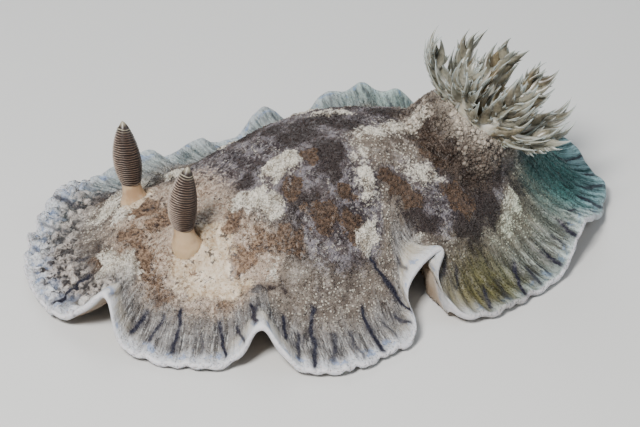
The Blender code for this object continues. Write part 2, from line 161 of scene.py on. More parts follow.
def toned(tree, sources, rows):
    # the first row is a colour; each other lays one over it: by which source, where that starts and ends,
    # how much at most, and the colour
    colour, *others = rows
    for name, low, high, most, over in others:
        colour = mixed(tree, ramp(tree, sources[name], low, high, 0.0, most), colour, over)
    return colour


def field(tree, name, output="Fac"):
    return addNode(tree, "ShaderNodeAttribute", attribute_name=name).outputs[output]


def fieldSum(tree, value, weights):
    # a value plus fields of the mesh, each times its weight
    for name, weight in weights.items():
        value = times(tree, field(tree, name), weight, value)
    return value


def grain(tree, place, scale, detail=3.0, roughness=0.55):
    node = addNode(tree, "ShaderNodeTexNoise",
                   {"Vector": place, "Scale": scale, "Detail": detail, "Roughness": roughness})
    return node.outputs["Fac"]


def newMaterial(name):
    material = bpy.data.materials.new(name)
    material.use_nodes = True
    tree = material.node_tree
    place = addNode(tree, "ShaderNodeTexCoord").outputs["Object"]
    return material, tree, tree.nodes["Principled BSDF"], place


def finishShader(tree, shader, colour, surface, height=None, strength=0.0, depth=0.0):
    # the colour, the surface's named settings and, where a height is given, a fine relief
    for name, value in {"Base Color": colour, **surface}.items():
        feed(tree, shader.inputs[name], value)
    if height is not None:
        bump = addNode(tree, "ShaderNodeBump", {"Height": height, "Strength": strength, "Distance": depth})
        feed(tree, shader.inputs["Normal"], bump.outputs["Normal"])


print("stage: helpers ready")

# Camera, lights and floor
view = dict(azimuth=-23.0, elevation=34.0, distance=0.380, target=(0.0014, 0.0083, 0.0), lens=102.9,
            sensor=36.0, nearest=0.01)


def placeCamera():
    a, e = math.radians(view["azimuth"]), math.radians(view["elevation"])
    back = Vector((math.sin(a) * math.cos(e), -math.cos(a) * math.cos(e), math.sin(e)))
    camera = bpy.data.objects.new("camera", bpy.data.cameras.new("camera"))
    camera.data.lens = view["lens"]
    camera.data.sensor_width = view["sensor"]
    camera.data.clip_start = view["nearest"]
    camera.location = Vector(view["target"]) + back * view["distance"]
    camera.rotation_euler = back.to_track_quat("Z", "Y").to_euler()
    bpy.context.scene.collection.objects.link(camera)
    bpy.context.scene.camera = camera


lights = dict(
    key=dict(place=(-0.27, -0.20, 0.45), size=0.14, power=5.0, colour=(1.0, 0.97, 0.93)),
    side=dict(place=(0.55, -0.30, 0.35), size=0.40, power=1.3, colour=(0.93, 0.97, 1.0)),
    rear=dict(place=(0.10, 0.60, 0.50), size=0.45, power=2.4, colour=(0.95, 0.98, 1.0)),
)
room = dict(colour=(0.80, 0.85, 0.90), power=0.28)


def placeLights():
    for name, one in lights.items():
        lamp = bpy.data.lights.new(name, "AREA")
        lamp.size = one["size"]
        lamp.energy = one["power"]
        lamp.color = one["colour"]
        holder = bpy.data.objects.new(name, lamp)
        holder.location = one["place"]
        holder.rotation_euler = Vector(one["place"]).to_track_quat("Z", "Y").to_euler()
        bpy.context.scene.collection.objects.link(holder)
    world = bpy.data.worlds.new("room")
    world.use_nodes = True
    glow = world.node_tree.nodes["Background"]
    glow.inputs["Color"].default_value = (*room["colour"], 1)
    glow.inputs["Strength"].default_value = room["power"]
    bpy.context.scene.world = world


plaster = dict(half=900.0, scale=6.0, surface={"Roughness": 0.85}, tones=((0.60, 0.61, 0.61), (0.66, 0.66, 0.65)))


def layFloor():
    half = plaster["half"]
    corners = [(-half, -half, 0), (half, -half, 0), (half, half, 0), (-half, half, 0)]
    floor = newPiece("floor", corners, [(0, 1, 2, 3)])
    material, tree, shader, place = newMaterial("palePlaster")
    tint = mixed(tree, grain(tree, place, plaster["scale"], 4.0), *plaster["tones"])
    finishShader(tree, shader, tint, plaster["surface"])
    floor.data.materials.append(material)


placeCamera()
placeLights()
layFloor()
print("stage: camera, lights and floor")

# The mantle's form: the same sizes as the solids', with finer frills round its margin
mantle = dict(
    halfLength=59.0, halfWidth=40.0, ridgeShare=0.6, edgeThickness=1.3, innerThickness=3.0, clearance=0.3,
    headRise=11.0, backRise=22.5, gillRise=15.5, humpEnd=0.88, humpPower=1.3,
    skirtStart=0.72, foldStart=0.36, pullPower=1.25, liftPower=1.2, leanPower=3,
    rippleStart=0.62, ripplePower=1.6, ceilingEnd=0.56, steepest=0.35, lipRound=0.62, crowding=1.12,
    # bearing from the tail, half width, lift, inward pull, sideways lean
    frills=[
        (8, 8, 2.5, -1.4, 0), (33, 8, 6.0, 2.0, 0), (48, 5, 7.5, 0.7, 0), (57, 5, 8.3, -0.3, 0),
        (67, 7, 7.3, -0.8, 0), (88, 7, 6.9, 0.4, 0), (103, 8, 3.1, 4.0, 0), (115, 5, 7.5, 6.6, 0),
        (130, 6, 7.8, 5.0, 0), (138, 5, 4.3, 2.2, 0), (149, 6, 3.5, -1.9, 0), (195, 5, 8.7, 3.2, 1.7),
        (231, 5, 7.2, 3.0, 0), (281, 7, 8.6, 14.0, 2.2), (331, 8, 5.3, 1.5, 0), (351, 5, 2.2, -0.9, 0),
    ],
    swells=[(157, 22, 4.1), (213, 12, 1.2), (248, 14, 3.6)],
    # how the deepest fold's flanks lean in and roll over: bearing, half width, shift towards the tail
    opening=[(276, 2.6, -2.8), (281.8, 2.6, 4.0), (289, 5.5, -3.4)],
    columns=744, topRows=78, lipRows=5, underRows=22, seed=11,
)


def ellipsePoint(bearing):
    angle = np.radians(bearing)
    x, y = np.cos(angle), np.sin(angle)
    reach = 1 / np.hypot(x / mantle["halfLength"], y / mantle["halfWidth"])
    return np.stack([x * reach, y * reach, np.zeros_like(x)], -1)


def ridgeRise(along):
    front = mantle["headRise"] + (mantle["backRise"] - mantle["headRise"]) * smooth(1 + along)
    rear = mantle["backRise"] + (mantle["gillRise"] - mantle["backRise"]) * smooth(along)
    return np.where(along < 0, front, rear)


def mantleThickness(share):
    skirt = smooth((share - mantle["skirtStart"]) / (1 - mantle["skirtStart"]))
    return mantle["innerThickness"] + (mantle["edgeThickness"] - mantle["innerThickness"]) * skirt


def makeRipples():
    # small scallops between the frills: bearing, half width, lift, inward pull
    rng = random.Random(mantle["seed"])
    rows, bearing = [], 0.0
    while bearing < 360:
        big = max(math.exp(-((wrapped(bearing - f[0]) / (f[1] * 1.1)) ** 2)) for f in mantle["frills"])
        front = math.exp(-((bearing - 172) / 22) ** 4)
        height = rng.uniform(0.35, 1.0) * (1 - 0.75 * big) * (1 + 1.2 * front)
        width = rng.uniform(1.1, 1.9) * (1 - 0.1 * front)
        pull = (rng.uniform(-0.35, 0.7) - 1.1 * front) * (1 - 0.6 * big)
        rows.append((bearing, width, height, pull))
        bearing += width * rng.uniform(2.0, 3.4)
    return rows


mantle["ripples"] = makeRipples()


def mantleTop(bearing, share, fine=True):
    # places on the mantle's upper side: share 0 on the ridge, 1 at the margin
    bearing, share = np.broadcast_arrays(np.asarray(bearing, float), np.asarray(share, float))
    lift = bells(bearing, mantle["frills"], 2)
    pull = bells(bearing, mantle["frills"], 3) - bells(bearing, mantle["swells"], 2)
    lean = bells(bearing, mantle["frills"], 4)
    edge = ellipsePoint(bearing)
    anchor = np.stack([mantle["ridgeShare"] * edge[..., 0], 0 * share, 0 * share], -1)
    outward = unit(edge - anchor)
    sideways = np.stack([-outward[..., 1], outward[..., 0], 0 * share], -1)
    reach = np.maximum(share - mantle["foldStart"], 0) / (1 - mantle["foldStart"])
    fold = smooth(reach)
    place = anchor + (edge - anchor) * share[..., None]
    leaning = fold ** mantle["leanPower"]
    place = place - outward * (pull * reach ** mantle["pullPower"])[..., None]
    place = place + sideways * (lean * leaning)[..., None]
    hump = 0.5 * (1 + np.cos(math.pi * np.minimum(share / mantle["humpEnd"], 1) ** mantle["humpPower"]))
    rise = ridgeRise(anchor[..., 0] / (mantle["ridgeShare"] * mantle["halfLength"])) * hump
    place[..., 2] = mantle["clearance"] + mantleThickness(share) + rise + lift * fold ** mantle["liftPower"]
    if fine:
        place = place + sideways * (bells(bearing, mantle["opening"], 2) * leaning)[..., None]
        near = step(share, mantle["rippleStart"], 1.0) ** mantle["ripplePower"]
        place[..., 2] += bells(bearing, mantle["ripples"], 2) * near
        place -= outward * (bells(bearing, mantle["ripples"], 3) * near)[..., None]
    return place


def surfaceHeight(x, y):
    # height of the mantle over a point of the plan, along the point's own bearing
    low, high = 0.0, 180.0
    for _ in range(40):
        middle = (low + high) / 2
        edge = ellipsePoint(middle)
        anchorX = mantle["ridgeShare"] * edge[0]
        if (edge[0] - anchorX) * abs(y) - edge[1] * (x - anchorX) > 0:
            low = middle
        else:
            high = middle
    edge = ellipsePoint(low)
    anchorX = mantle["ridgeShare"] * edge[0]
    share = math.hypot(x - anchorX, y) / math.hypot(edge[0] - anchorX, edge[1])
    return float(mantleTop(math.copysign(low, y), share, fine=False)[2])


feelers = dict(
    left=dict(base=(-33.8, -9.9), lean=(0.05, 0.0)),
    right=dict(base=(-37.5, 10.1), lean=(-0.03, 0.2)),
    pocketRadius=2.8, pocketDepth=2.0, gap=0.3,
    # the low collar: distance beyond the pocket's wall, and height; then how deep the skin dips inside
    mound=([-0.1, 0.35, 0.9, 2.6, 5.4], [1.35, 1.6, 1.35, 0.45, 0.0]), dip=1.7,
)
gill = dict(
    place=(29.5, -2.5), lean=(0.72, -0.12), raised=3.5, pocketRadius=8.5, pocketDepth=2.4, gap=0.3,
    # the raised collar and the pocket in it: distance beyond the pocket's wall, and height
    rim=([0.2, 0.6, 1.3, 2.4, 3.2, 3.8, 4.4], [0.35, 0.42, -0.1, -2.2, -4.7, -8.0, -14.0]), rimSoft=0.8,
    bore=([0.0, 0.2, 9.0], [-2.0, 0.2, 6.2]),
    discRadius=8.1, discHeight=2.2, stem=3.3, bend=9.0, seed=100,
    # each plume's lean at its tip in degrees, and its length
    plumes=[(17, 14.0), (6, 13.2), (20, 12.6), (48, 14.0), (32, 13.6), (12, 13.2), (38, 13.8), (29, 13.4)],
)


def feelerFrame(side):
    (x, y), lean = feelers[side]["base"], feelers[side]["lean"]
    return frameAt((x, y, surfaceHeight(x, y)), (*lean, 1))


def gillFrame():
    x, y = gill["place"]
    axis = Vector((*gill["lean"], 1)).normalized()
    return frameAt(Vector((x, y, surfaceHeight(x, y))) + axis * gill["raised"], axis)


def inFrame(points, matrix):
    turn = np.array(matrix.to_3x3())
    return (points - np.array(matrix.translation)) @ turn


def outOfFrame(points, matrix):
    return points @ np.array(matrix.to_3x3()).T + np.array(matrix.translation)


def aboutAxis(points, matrix):
    # places seen from a frame, and how far they are from its axis
    local = inFrame(points, matrix)
    return local, np.hypot(local[..., 0], local[..., 1])


def raiseCollars(top):
    # low mounds with a pocket for each rhinophore, and the gill's rim with its pocket
    for side in ("left", "right"):
        matrix = feelerFrame(side)
        local, radius = aboutAxis(top, matrix)
        near = (radius < 9.5) & (np.abs(local[..., 2]) < 9)
        beyond = radius - feelers["pocketRadius"]
        mound = np.interp(beyond, *feelers["mound"])
        mound = mound * smooth((beyond + 0.55) / 0.6) - feelers["dip"] * smooth(-beyond / 0.7)
        local[..., 2] += np.where(near, mound, 0)
        top = np.where(near[..., None], outOfFrame(local, matrix), top)
    matrix = gillFrame()
    local, radius = aboutAxis(top, matrix)
    height, soft = local[..., 2], gill["rimSoft"]
    near = (radius < 18) & (np.abs(height + gill["raised"]) < 14)
    beyond = radius - gill["pocketRadius"]
    rim = np.interp(beyond, *gill["rim"])
    raised = np.maximum(height, rim) + soft * np.exp(-np.abs(height - rim) / soft) * 0.35
    bore = np.where(beyond < 0, -gill["pocketDepth"], np.interp(beyond, *gill["bore"]))
    local[..., 2] = np.where(near, np.minimum(raised, bore), height)
    return np.where(near[..., None], outOfFrame(local, matrix), top)


foot = dict(
    front=-41.0, rear=50.0, halfWidth=15.0, height=5.0, frontPower=2 / 2.6, rearPower=2 / 1.8,
    # how far in from either end the sole's middle line stops
    seamFront=9.0, seamRear=12.0,
    # rings from the top down: height, and how far beyond the half width
    levels=[(5.0, -2.0), (3.8, -1.95), (2.6, -1.6), (1.9, -0.9), (1.3, -0.3), (0.8, 0.0), (0.45, -0.02),
            (0.15, -0.25), (0.0, -0.6)],
)


def footRing(bearing, height, spread):
    middle, half = (foot["front"] + foot["rear"]) / 2, (foot["rear"] - foot["front"]) / 2
    along, across = np.cos(np.radians(bearing)), np.sin(np.radians(bearing))
    power = np.where(along < 0, foot["frontPower"], foot["rearPower"])
    x = middle + np.sign(along) * np.abs(along) ** power * (half + spread)
    y = np.sign(across) * np.abs(across) ** power * (foot["halfWidth"] + spread)
    return np.stack([x, y, np.full_like(x, height)], -1)


def spacedBearings(count):
    # bearings closer together where a frill is steep, alike on both sides so that the ridge closes
    probe = np.linspace(0, 180, 3601)
    steep = np.zeros_like(probe)
    for f in mantle["frills"]:
        for way in (probe, -probe):
            steep = np.maximum(steep, f[2] * np.exp(-((wrapped(way - f[0]) / (f[1] * 1.6)) ** 2)) / f[1])
    density = 1 + 0.75 * steep
    total = np.concatenate([[0], np.cumsum((density[1:] + density[:-1]) / 2)])
    half = np.interp(np.linspace(0, total[-1], count // 2 + 1), total, probe)
    return np.concatenate([half, 360 - half[-2:0:-1]])


def gridNormals(grid):
    across = np.gradient(grid, axis=1)
    along = np.roll(grid, -1, axis=0) - np.roll(grid, 1, axis=0)
    return unit(np.cross(across, along))


def skinGrid():
    # rings of places from the ridge over the margin and back in under the foot, one row after another
    bearing = spacedBearings(mantle["columns"])
    columns = bearing[:, None]
    shares = 1 - (1 - np.linspace(0, 1, mantle["topRows"])) ** mantle["crowding"]
    top = raiseCollars(mantleTop(columns, shares[None, :]))
    inner = np.linspace(1, mantle["skirtStart"], mantle["underRows"])
    under = mantleTop(columns, inner[None, :])
    upward = np.abs(gridNormals(under)[..., 2])
    turn = smooth((inner - mantle["skirtStart"]) / 0.1)[None, :]
    slope = 1 + (np.maximum(upward, mantle["steepest"]) - 1) * turn
    under[..., 2] = np.maximum(under[..., 2] - mantleThickness(inner)[None, :] / slope, mantle["clearance"])
    edge, outward = top[:, -1], unit((top[:, -1] - top[:, -3]) * [1, 1, 0.4])
    middle, half = (edge + under[:, 0]) / 2, (edge - under[:, 0]) / 2
    angles = [math.pi * (k + 1) / (mantle["lipRows"] + 1) for k in range(mantle["lipRows"])]
    lip = [middle + half * math.cos(a) + outward * mantle["lipRound"] * math.sin(a) for a in angles]
    brim = under[:, -1]
    ceiling = mantleTop(bearing, np.full_like(bearing, mantle["ceilingEnd"]), fine=False)
    ceiling[:, 2] = foot["height"] + mantle["clearance"]
    crown = footRing(bearing, *foot["levels"][0])
    rings = [brim + (ceiling - brim) * t for t in (0.25, 0.5, 0.75, 1.0)] + [ceiling + (crown - ceiling) * 0.5]
    roof = len(rings)
    rings += [footRing(bearing, height, spread) for height, spread in foot["levels"]]
    rim = rings[-1]
    spine = np.clip(rim[:, 0], foot["front"] + foot["seamFront"], foot["rear"] - foot["seamRear"])
    spine = np.stack([spine, 0 * bearing, 0 * bearing], -1)
    rings += [rim + (spine - rim) * t for t in (0.3, 0.65, 1.0)]
    grid = np.concatenate([top, np.stack(lip, 1), under, np.stack(rings, 1)], axis=1)
    # each row's kind: 0 the upper side, 1 the lip, 2 the underside, 3 the roof over the foot, 4 the foot
    kinds = np.repeat(np.arange(5.0), [len(shares), len(lip), len(inner), roof, len(rings) - roof])
    return grid, bearing, kinds


# What marks the skin, in mm on the plan
markings = dict(
    # by kind: x, y, half length, half width, turn, strength
    patches=dict(
        pale=[
            (-12.0, -4.6, 3.6, 3.3, 20, 1.0), (-19.8, -8.2, 3.6, 2.9, 0, 1.0),
            (-16.9, -11.2, 3.3, 2.4, -15, 0.85), (7.0, -3.2, 4.8, 3.3, 10, 0.62),
            (14.0, -2.2, 5.2, 3.3, 10, 0.66), (2.6, -8.2, 3.0, 2.6, 0, 0.50), (17.6, -2.2, 2.8, 3.6, 0, 0.66),
            (14.4, -13.6, 5.2, 3.2, -5, 0.58), (1.8, -14.0, 3.2, 4.4, 0, 0.64),
            (-1.5, -21.6, 2.5, 2.3, 0, 0.95), (32.2, -17.4, 2.1, 3.0, -15, 0.72),
            # the pale patch at (2.5, 6.6) is a painted highlight, a soft bluish-white blur of light on the wet
            # back, raised like the other pale patches
            (29.0, -20.4, 3.0, 1.8, 20, 0.5), (2.5, 6.6, 6.0, 3.2, 0, 0.6), (-46.2, -7.2, 4.8, 3.1, -30, 1.0),
            (-47.4, -1.6, 2.8, 3.0, 0, 0.6), (-41.0, 6.6, 2.6, 3.6, 0, 0.8), (-27.0, -2.5, 2.4, 4.0, 0, 0.3),
            (9.0, -22.0, 1.7, 1.1, 0, 0.7), (-20.0, -20.5, 3.2, 1.6, 30, 0.45), (-44.5, 16.0, 3.0, 4.0, 0, 0.4),
            (36.5, -9.0, 2.6, 3.4, 0, 0.4), (-30.5, 7.5, 3.0, 3.5, 0, 0.35), (22.5, -9.5, 1.6, 3.0, 20, 0.5),
            (-48.0, -4.6, 3.2, 2.4, 0, 0.9),
        ],
        brown=[
            (-24.9, -16.7, 2.9, 2.2, 0, 1.0), (-20.7, -15.9, 1.7, 1.5, 0, 0.8),
            (-15.8, -17.4, 2.7, 2.3, 0, 1.0), (-8.6, -16.8, 2.7, 2.4, 0, 1.0), (-3.9, -19.2, 1.8, 1.6, 0, 0.9),
            (-3.2, -14.8, 1.6, 1.7, 0, 0.9), (-7.0, -5.9, 2.0, 1.9, 0, 0.9), (-12.3, -10.2, 1.6, 2.4, 0, 0.8),
            (6.8, -14.4, 1.5, 1.7, 0, 0.9), (9.0, -16.6, 3.1, 1.4, -10, 0.9), (18.2, -8.0, 2.9, 3.4, 0, 1.0),
            (19.4, -17.4, 2.3, 2.4, 0, 1.0), (-24.4, -10.2, 2.4, 1.7, 0, 0.8), (-42.2, -2.0, 2.4, 3.4, 0, 0.85),
            (-37.6, 4.2, 3.2, 2.2, 0, 0.9), (-35.4, -1.6, 3.0, 2.8, 0, 0.85), (-41.8, -8.6, 2.2, 4.4, 0, 0.9),
            (-41.0, -15.2, 2.8, 2.2, 0, 0.85), (-50.6, -1.2, 1.4, 2.0, 0, 0.9),
            (-30.5, -22.0, 2.6, 0.9, 0, 0.5), (23.5, 1.5, 2.0, 4.0, 0, 0.7),
        ],
        dark=[
            (-19.0, -2.2, 3.8, 2.4, 30, 0.55), (24.8, -17.0, 3.8, 4.2, 0, 0.9),
            (28.6, -14.0, 3.6, 1.6, -10, 0.7), (20.6, -22.0, 3.2, 3.4, 0, 0.8), (20.5, -26.4, 4.4, 3.0, 0, 0.5),
            (-3.2, -6.0, 2.8, 4.6, 0, 0.85), (-6.0, 2.0, 5.4, 4.6, 0, 0.75), (0.6, 4.2, 5.0, 3.6, 0, 0.75),
            (-9.0, 7.4, 4.0, 4.0, 0, 0.55), (3.6, 0.0, 3.6, 2.4, 0, 0.85), (14.4, 5.6, 5.4, 3.4, 0, 0.8),
            (-15.0, -0.6, 2.2, 2.6, 0, 0.5), (-4.6, -10.6, 2.2, 3.2, 0, 0.6), (-10.6, -13.0, 4.6, 3.2, 0, 0.6),
            (20.6, -12.2, 2.2, 3.6, 0, 0.85), (-18.0, 3.4, 2.4, 3.4, 0, 0.45), (-5.0, -24.0, 5.0, 2.4, 0, 0.4),
            (21.5, -4.5, 1.6, 6.0, 0, 0.7), (36.0, -13.6, 5.0, 3.6, 20, 0.55), (42.0, -10.5, 4.6, 4.4, 0, 0.5),
            (-48.6, 3.2, 1.8, 3.4, 0, 0.5), (-19.5, -24.0, 2.0, 3.0, 0, 0.5), (9.6, -19.6, 5.4, 2.0, -10, 0.66),
            (-30.0, 1.6, 2.2, 3.6, 0, 0.35), (-13.5, 12.0, 4.0, 4.0, 0, 0.6), (6.5, 12.5, 5.0, 4.0, 0, 0.7),
            (-24.4, -22.4, 4.2, 1.5, 0, 0.62),
        ],
    ),
    # dark rays near the margin: bearing and distance from the edge at both ends, strength, width
    rays=[
        (203.8, 9.6, 202.0, 4.0, 1.0, 1.0), (208.2, 10.0, 206.2, 4.4, 0.95, 0.9),
        (211.8, 12.4, 211.8, 3.2, 1.0, 1.1), (217.2, 7.4, 217.6, 3.8, 0.6, 0.8),
        (221.0, 10.2, 222.8, 2.4, 1.0, 0.9), (225.6, 7.4, 227.2, 2.0, 0.9, 0.8),
        (228.8, 8.6, 229.8, 2.4, 1.0, 1.3), (237.0, 11.2, 236.8, 6.0, 1.0, 1.1),
        (240.2, 9.0, 238.8, 3.2, 0.9, 0.8), (245.0, 15.0, 242.4, 1.6, 1.0, 1.2),
        (249.2, 9.0, 248.0, 3.4, 0.8, 1.0), (254.5, 8.6, 253.4, 4.6, 0.7, 0.9),
        (254.0, 5.6, 254.8, 2.2, 0.7, 0.7), (259.5, 11.7, 260.0, 1.4, 1.0, 1.2),
        (264.2, 7.2, 266.2, 3.2, 0.7, 0.7), (268.5, 7.6, 271.0, 2.8, 0.9, 0.9),
        (266.8, 20.0, 273.5, 3.2, 1.0, 1.0), (276.5, 7.6, 277.5, 3.2, 0.7, 0.9),
        (292.2, 14.4, 287.0, 4.2, 0.7, 0.8), (294.2, 12.4, 292.2, 8.0, 0.7, 0.8),
        (298.5, 6.8, 296.0, 2.6, 0.9, 1.0), (303.0, 7.0, 301.0, 2.2, 0.6, 0.9),
        (310.5, 8.4, 305.8, 1.2, 1.0, 1.0), (312.8, 6.2, 311.8, 1.6, 0.9, 1.0),
        (320.0, 6.2, 319.2, 1.6, 1.0, 1.1), (324.0, 6.0, 324.2, 2.6, 0.7, 0.9),
        (328.0, 5.4, 326.8, 1.2, 1.0, 1.1), (333.0, 6.4, 336.0, 2.6, 0.9, 1.0),
        (345.5, 5.2, 343.8, 1.0, 0.9, 1.1), (348.0, 9.0, 349.8, 1.0, 0.8, 0.9),
        (359.5, 9.4, 2.2, 1.0, 0.9, 1.0), (182.8, 10.6, 183.2, 2.4, 1.0, 1.4),
        (190.5, 5.0, 189.6, 1.0, 0.8, 0.7), (175.8, 13.0, 171.5, 6.8, 0.7, 1.1),
        (166.0, 6.0, 165.0, 1.8, 0.5, 0.8), (159.0, 7.0, 158.0, 2.0, 0.6, 0.9),
        (152.5, 8.1, 151.4, 1.4, 0.8, 1.0), (197.0, 5.0, 196.0, 1.6, 0.5, 0.8),
        (233.6, 8.0, 232.8, 2.6, 0.5, 0.7), (285.5, 9.0, 284.0, 2.8, 0.6, 0.7),
        (290.0, 6.0, 289.0, 2.0, 0.5, 0.7), (315.8, 5.0, 315.4, 1.8, 0.7, 0.8),
        (339.5, 6.0, 340.5, 1.6, 0.8, 0.9), (354.0, 6.5, 355.5, 1.2, 0.8, 1.0),
    ],
    # the far side's marks, by kind: how many, and their least and most half length
    hidden=dict(pale=(20, 2.2, 4.6), brown=(18, 1.5, 2.8), dark=(16, 2.4, 5.0)), hiddenBearings=(8.0, 148.0),
    seed=21, pleatAt=325, pleatEvery=3.3,
    # the patches' edges: how sharp, and the fineness and reach in mm of their lobes and frays
    sharpness=dict(pale=1.0, brown=0.75, dark=0.9), lobes=(0.20, 1.6), frays=(0.62, 1.5), noiseSeed=68,
    # smooth cream round the rhinophores, and the warm ground of the front
    halos=[((-31.0, -13.0), (7.4, 6.2), 1.0), ((-28.5, -20.0), (4.8, 3.6), 0.65),
           ((-38.0, 9.0), (4.6, 4.4), 0.8)],
    warm=[((-34.0, -3.0), (13.0, 17.0)), ((-26.0, -18.0), (8.0, 6.0))],
    # pale lips of the folds: bearing, half width, how far in
    lips=[(195, 7, 7.0), (231, 8, 7.0), (279, 10, 8.0), (288, 5, 9.5)],
)


def fillHiddenSide():
    # the far side, which can't be seen, carries marks of the same sorts and sizes
    rng = random.Random(markings["seed"])
    for kind, (count, low, high) in markings["hidden"].items():
        for _ in range(count):
            markings["patches"][kind].append((
                rng.uniform(-44, 46), rng.uniform(13, 30), rng.uniform(low, high), rng.uniform(low, high) * 0.8,
                rng.uniform(0, 90), rng.uniform(0.5, 1.0)))
    bearing, end = markings["hiddenBearings"]
    while bearing < end:
        bearing += rng.uniform(2.4, 5.6)
        markings["rays"].append((bearing, rng.uniform(6, 11), bearing + rng.uniform(-1.5, 1.5),
                                 rng.uniform(2.6, 4.6), rng.uniform(0.25, 0.6), rng.uniform(0.6, 0.9)))


def pushedAbout(x, y):
    # places on the plan moved a little by noise, which gives the patches lobed outlines
    noise.seed_set(markings["noiseSeed"])
    shift, (lobed, lobeReach), (frayed, frayReach) = [], markings["lobes"], markings["frays"]
    for a, b in zip(x.ravel().tolist(), y.ravel().tolist()):
        broad = noise.noise_vector(Vector((a * lobed, b * lobed, 3.1)))
        fine = noise.noise_vector(Vector((a * frayed, b * frayed, 8.4)))
        shift.append((broad[0] * lobeReach + fine[0] * frayReach, broad[1] * lobeReach + fine[1] * frayReach))
    shift = np.array(shift).reshape(*x.shape, 2)
    return x + shift[..., 0], y + shift[..., 1]


def patchField(kind, x, y):
    found, sharp = np.zeros_like(x), markings["sharpness"][kind]
    for middleX, middleY, halfLength, halfWidth, degrees, strength in markings["patches"][kind]:
        cosine, sine = math.cos(math.radians(degrees)), math.sin(math.radians(degrees))
        along = ((x - middleX) * cosine + (y - middleY) * sine) / halfLength
        across = ((y - middleY) * cosine - (x - middleX) * sine) / halfWidth
        found = np.maximum(found, strength * np.exp(-sharp * (along ** 2 + across ** 2) ** 1.4))
    return found


def spot(x, y, middle, reach, power=1.0):
    # a soft round field on the plan
    away = ((x - middle[0]) / reach[0]) ** 2 + ((y - middle[1]) / reach[1]) ** 2
    return np.exp(-away ** power)


def rayFields(bearing, fromEdge, spacing):
    # signed distance to the nearest ray in mm, and how dark the skin is there
    farthest = 3.0
    side, nearest = np.full(fromEdge.shape, farthest), np.full(fromEdge.shape, farthest)
    dark = np.zeros(fromEdge.shape)
    for innerBearing, inner, outerBearing, outer, strength, width in markings["rays"]:
        turn = wrapped(outerBearing - innerBearing)
        along = np.clip((inner - fromEdge) / (inner - outer), 0, 1)
        off = wrapped(bearing - innerBearing - turn * along) * spacing / width
        past = np.maximum(np.maximum(fromEdge - inner, outer - fromEdge), 0)
        away = np.hypot(off, past * 0.8)
        closer = away < nearest
        nearest = np.where(closer, away, nearest)
        side = np.where(closer, off, side)
        dark = np.where(closer, strength * fade(past, 0.0, 1.3) * fade(np.abs(off), 1.0, 1.6), dark)
    return np.clip(side, -farthest, farthest), dark


def measureSkin(grid, bearing):
    # how far each place is from the margin and round it, in mm, and how wide a degree is there
    columns = len(bearing)
    lengths = np.linalg.norm(np.diff(grid, axis=1), axis=-1)
    travelled = np.concatenate([np.zeros((columns, 1)), np.cumsum(lengths, axis=1)], 1)
    margin = mantle["topRows"] + mantle["lipRows"] // 2
    fromEdge = np.abs(travelled - travelled[:, margin:margin + 1])
    ring = grid[:, margin]
    arc = np.linalg.norm(np.roll(ring, -1, axis=0) - ring, axis=-1)
    around = np.concatenate([[0], np.cumsum(arc)[:-1]])
    wide = np.linalg.norm(np.roll(grid, -1, axis=0) - np.roll(grid, 1, axis=0), axis=-1)
    span = wrapped(np.roll(bearing, -1) - np.roll(bearing, 1))
    spacing = wide / np.maximum(np.abs(span), 1e-6)[:, None]
    return fromEdge, around, arc.sum() / (2 * math.pi), spacing


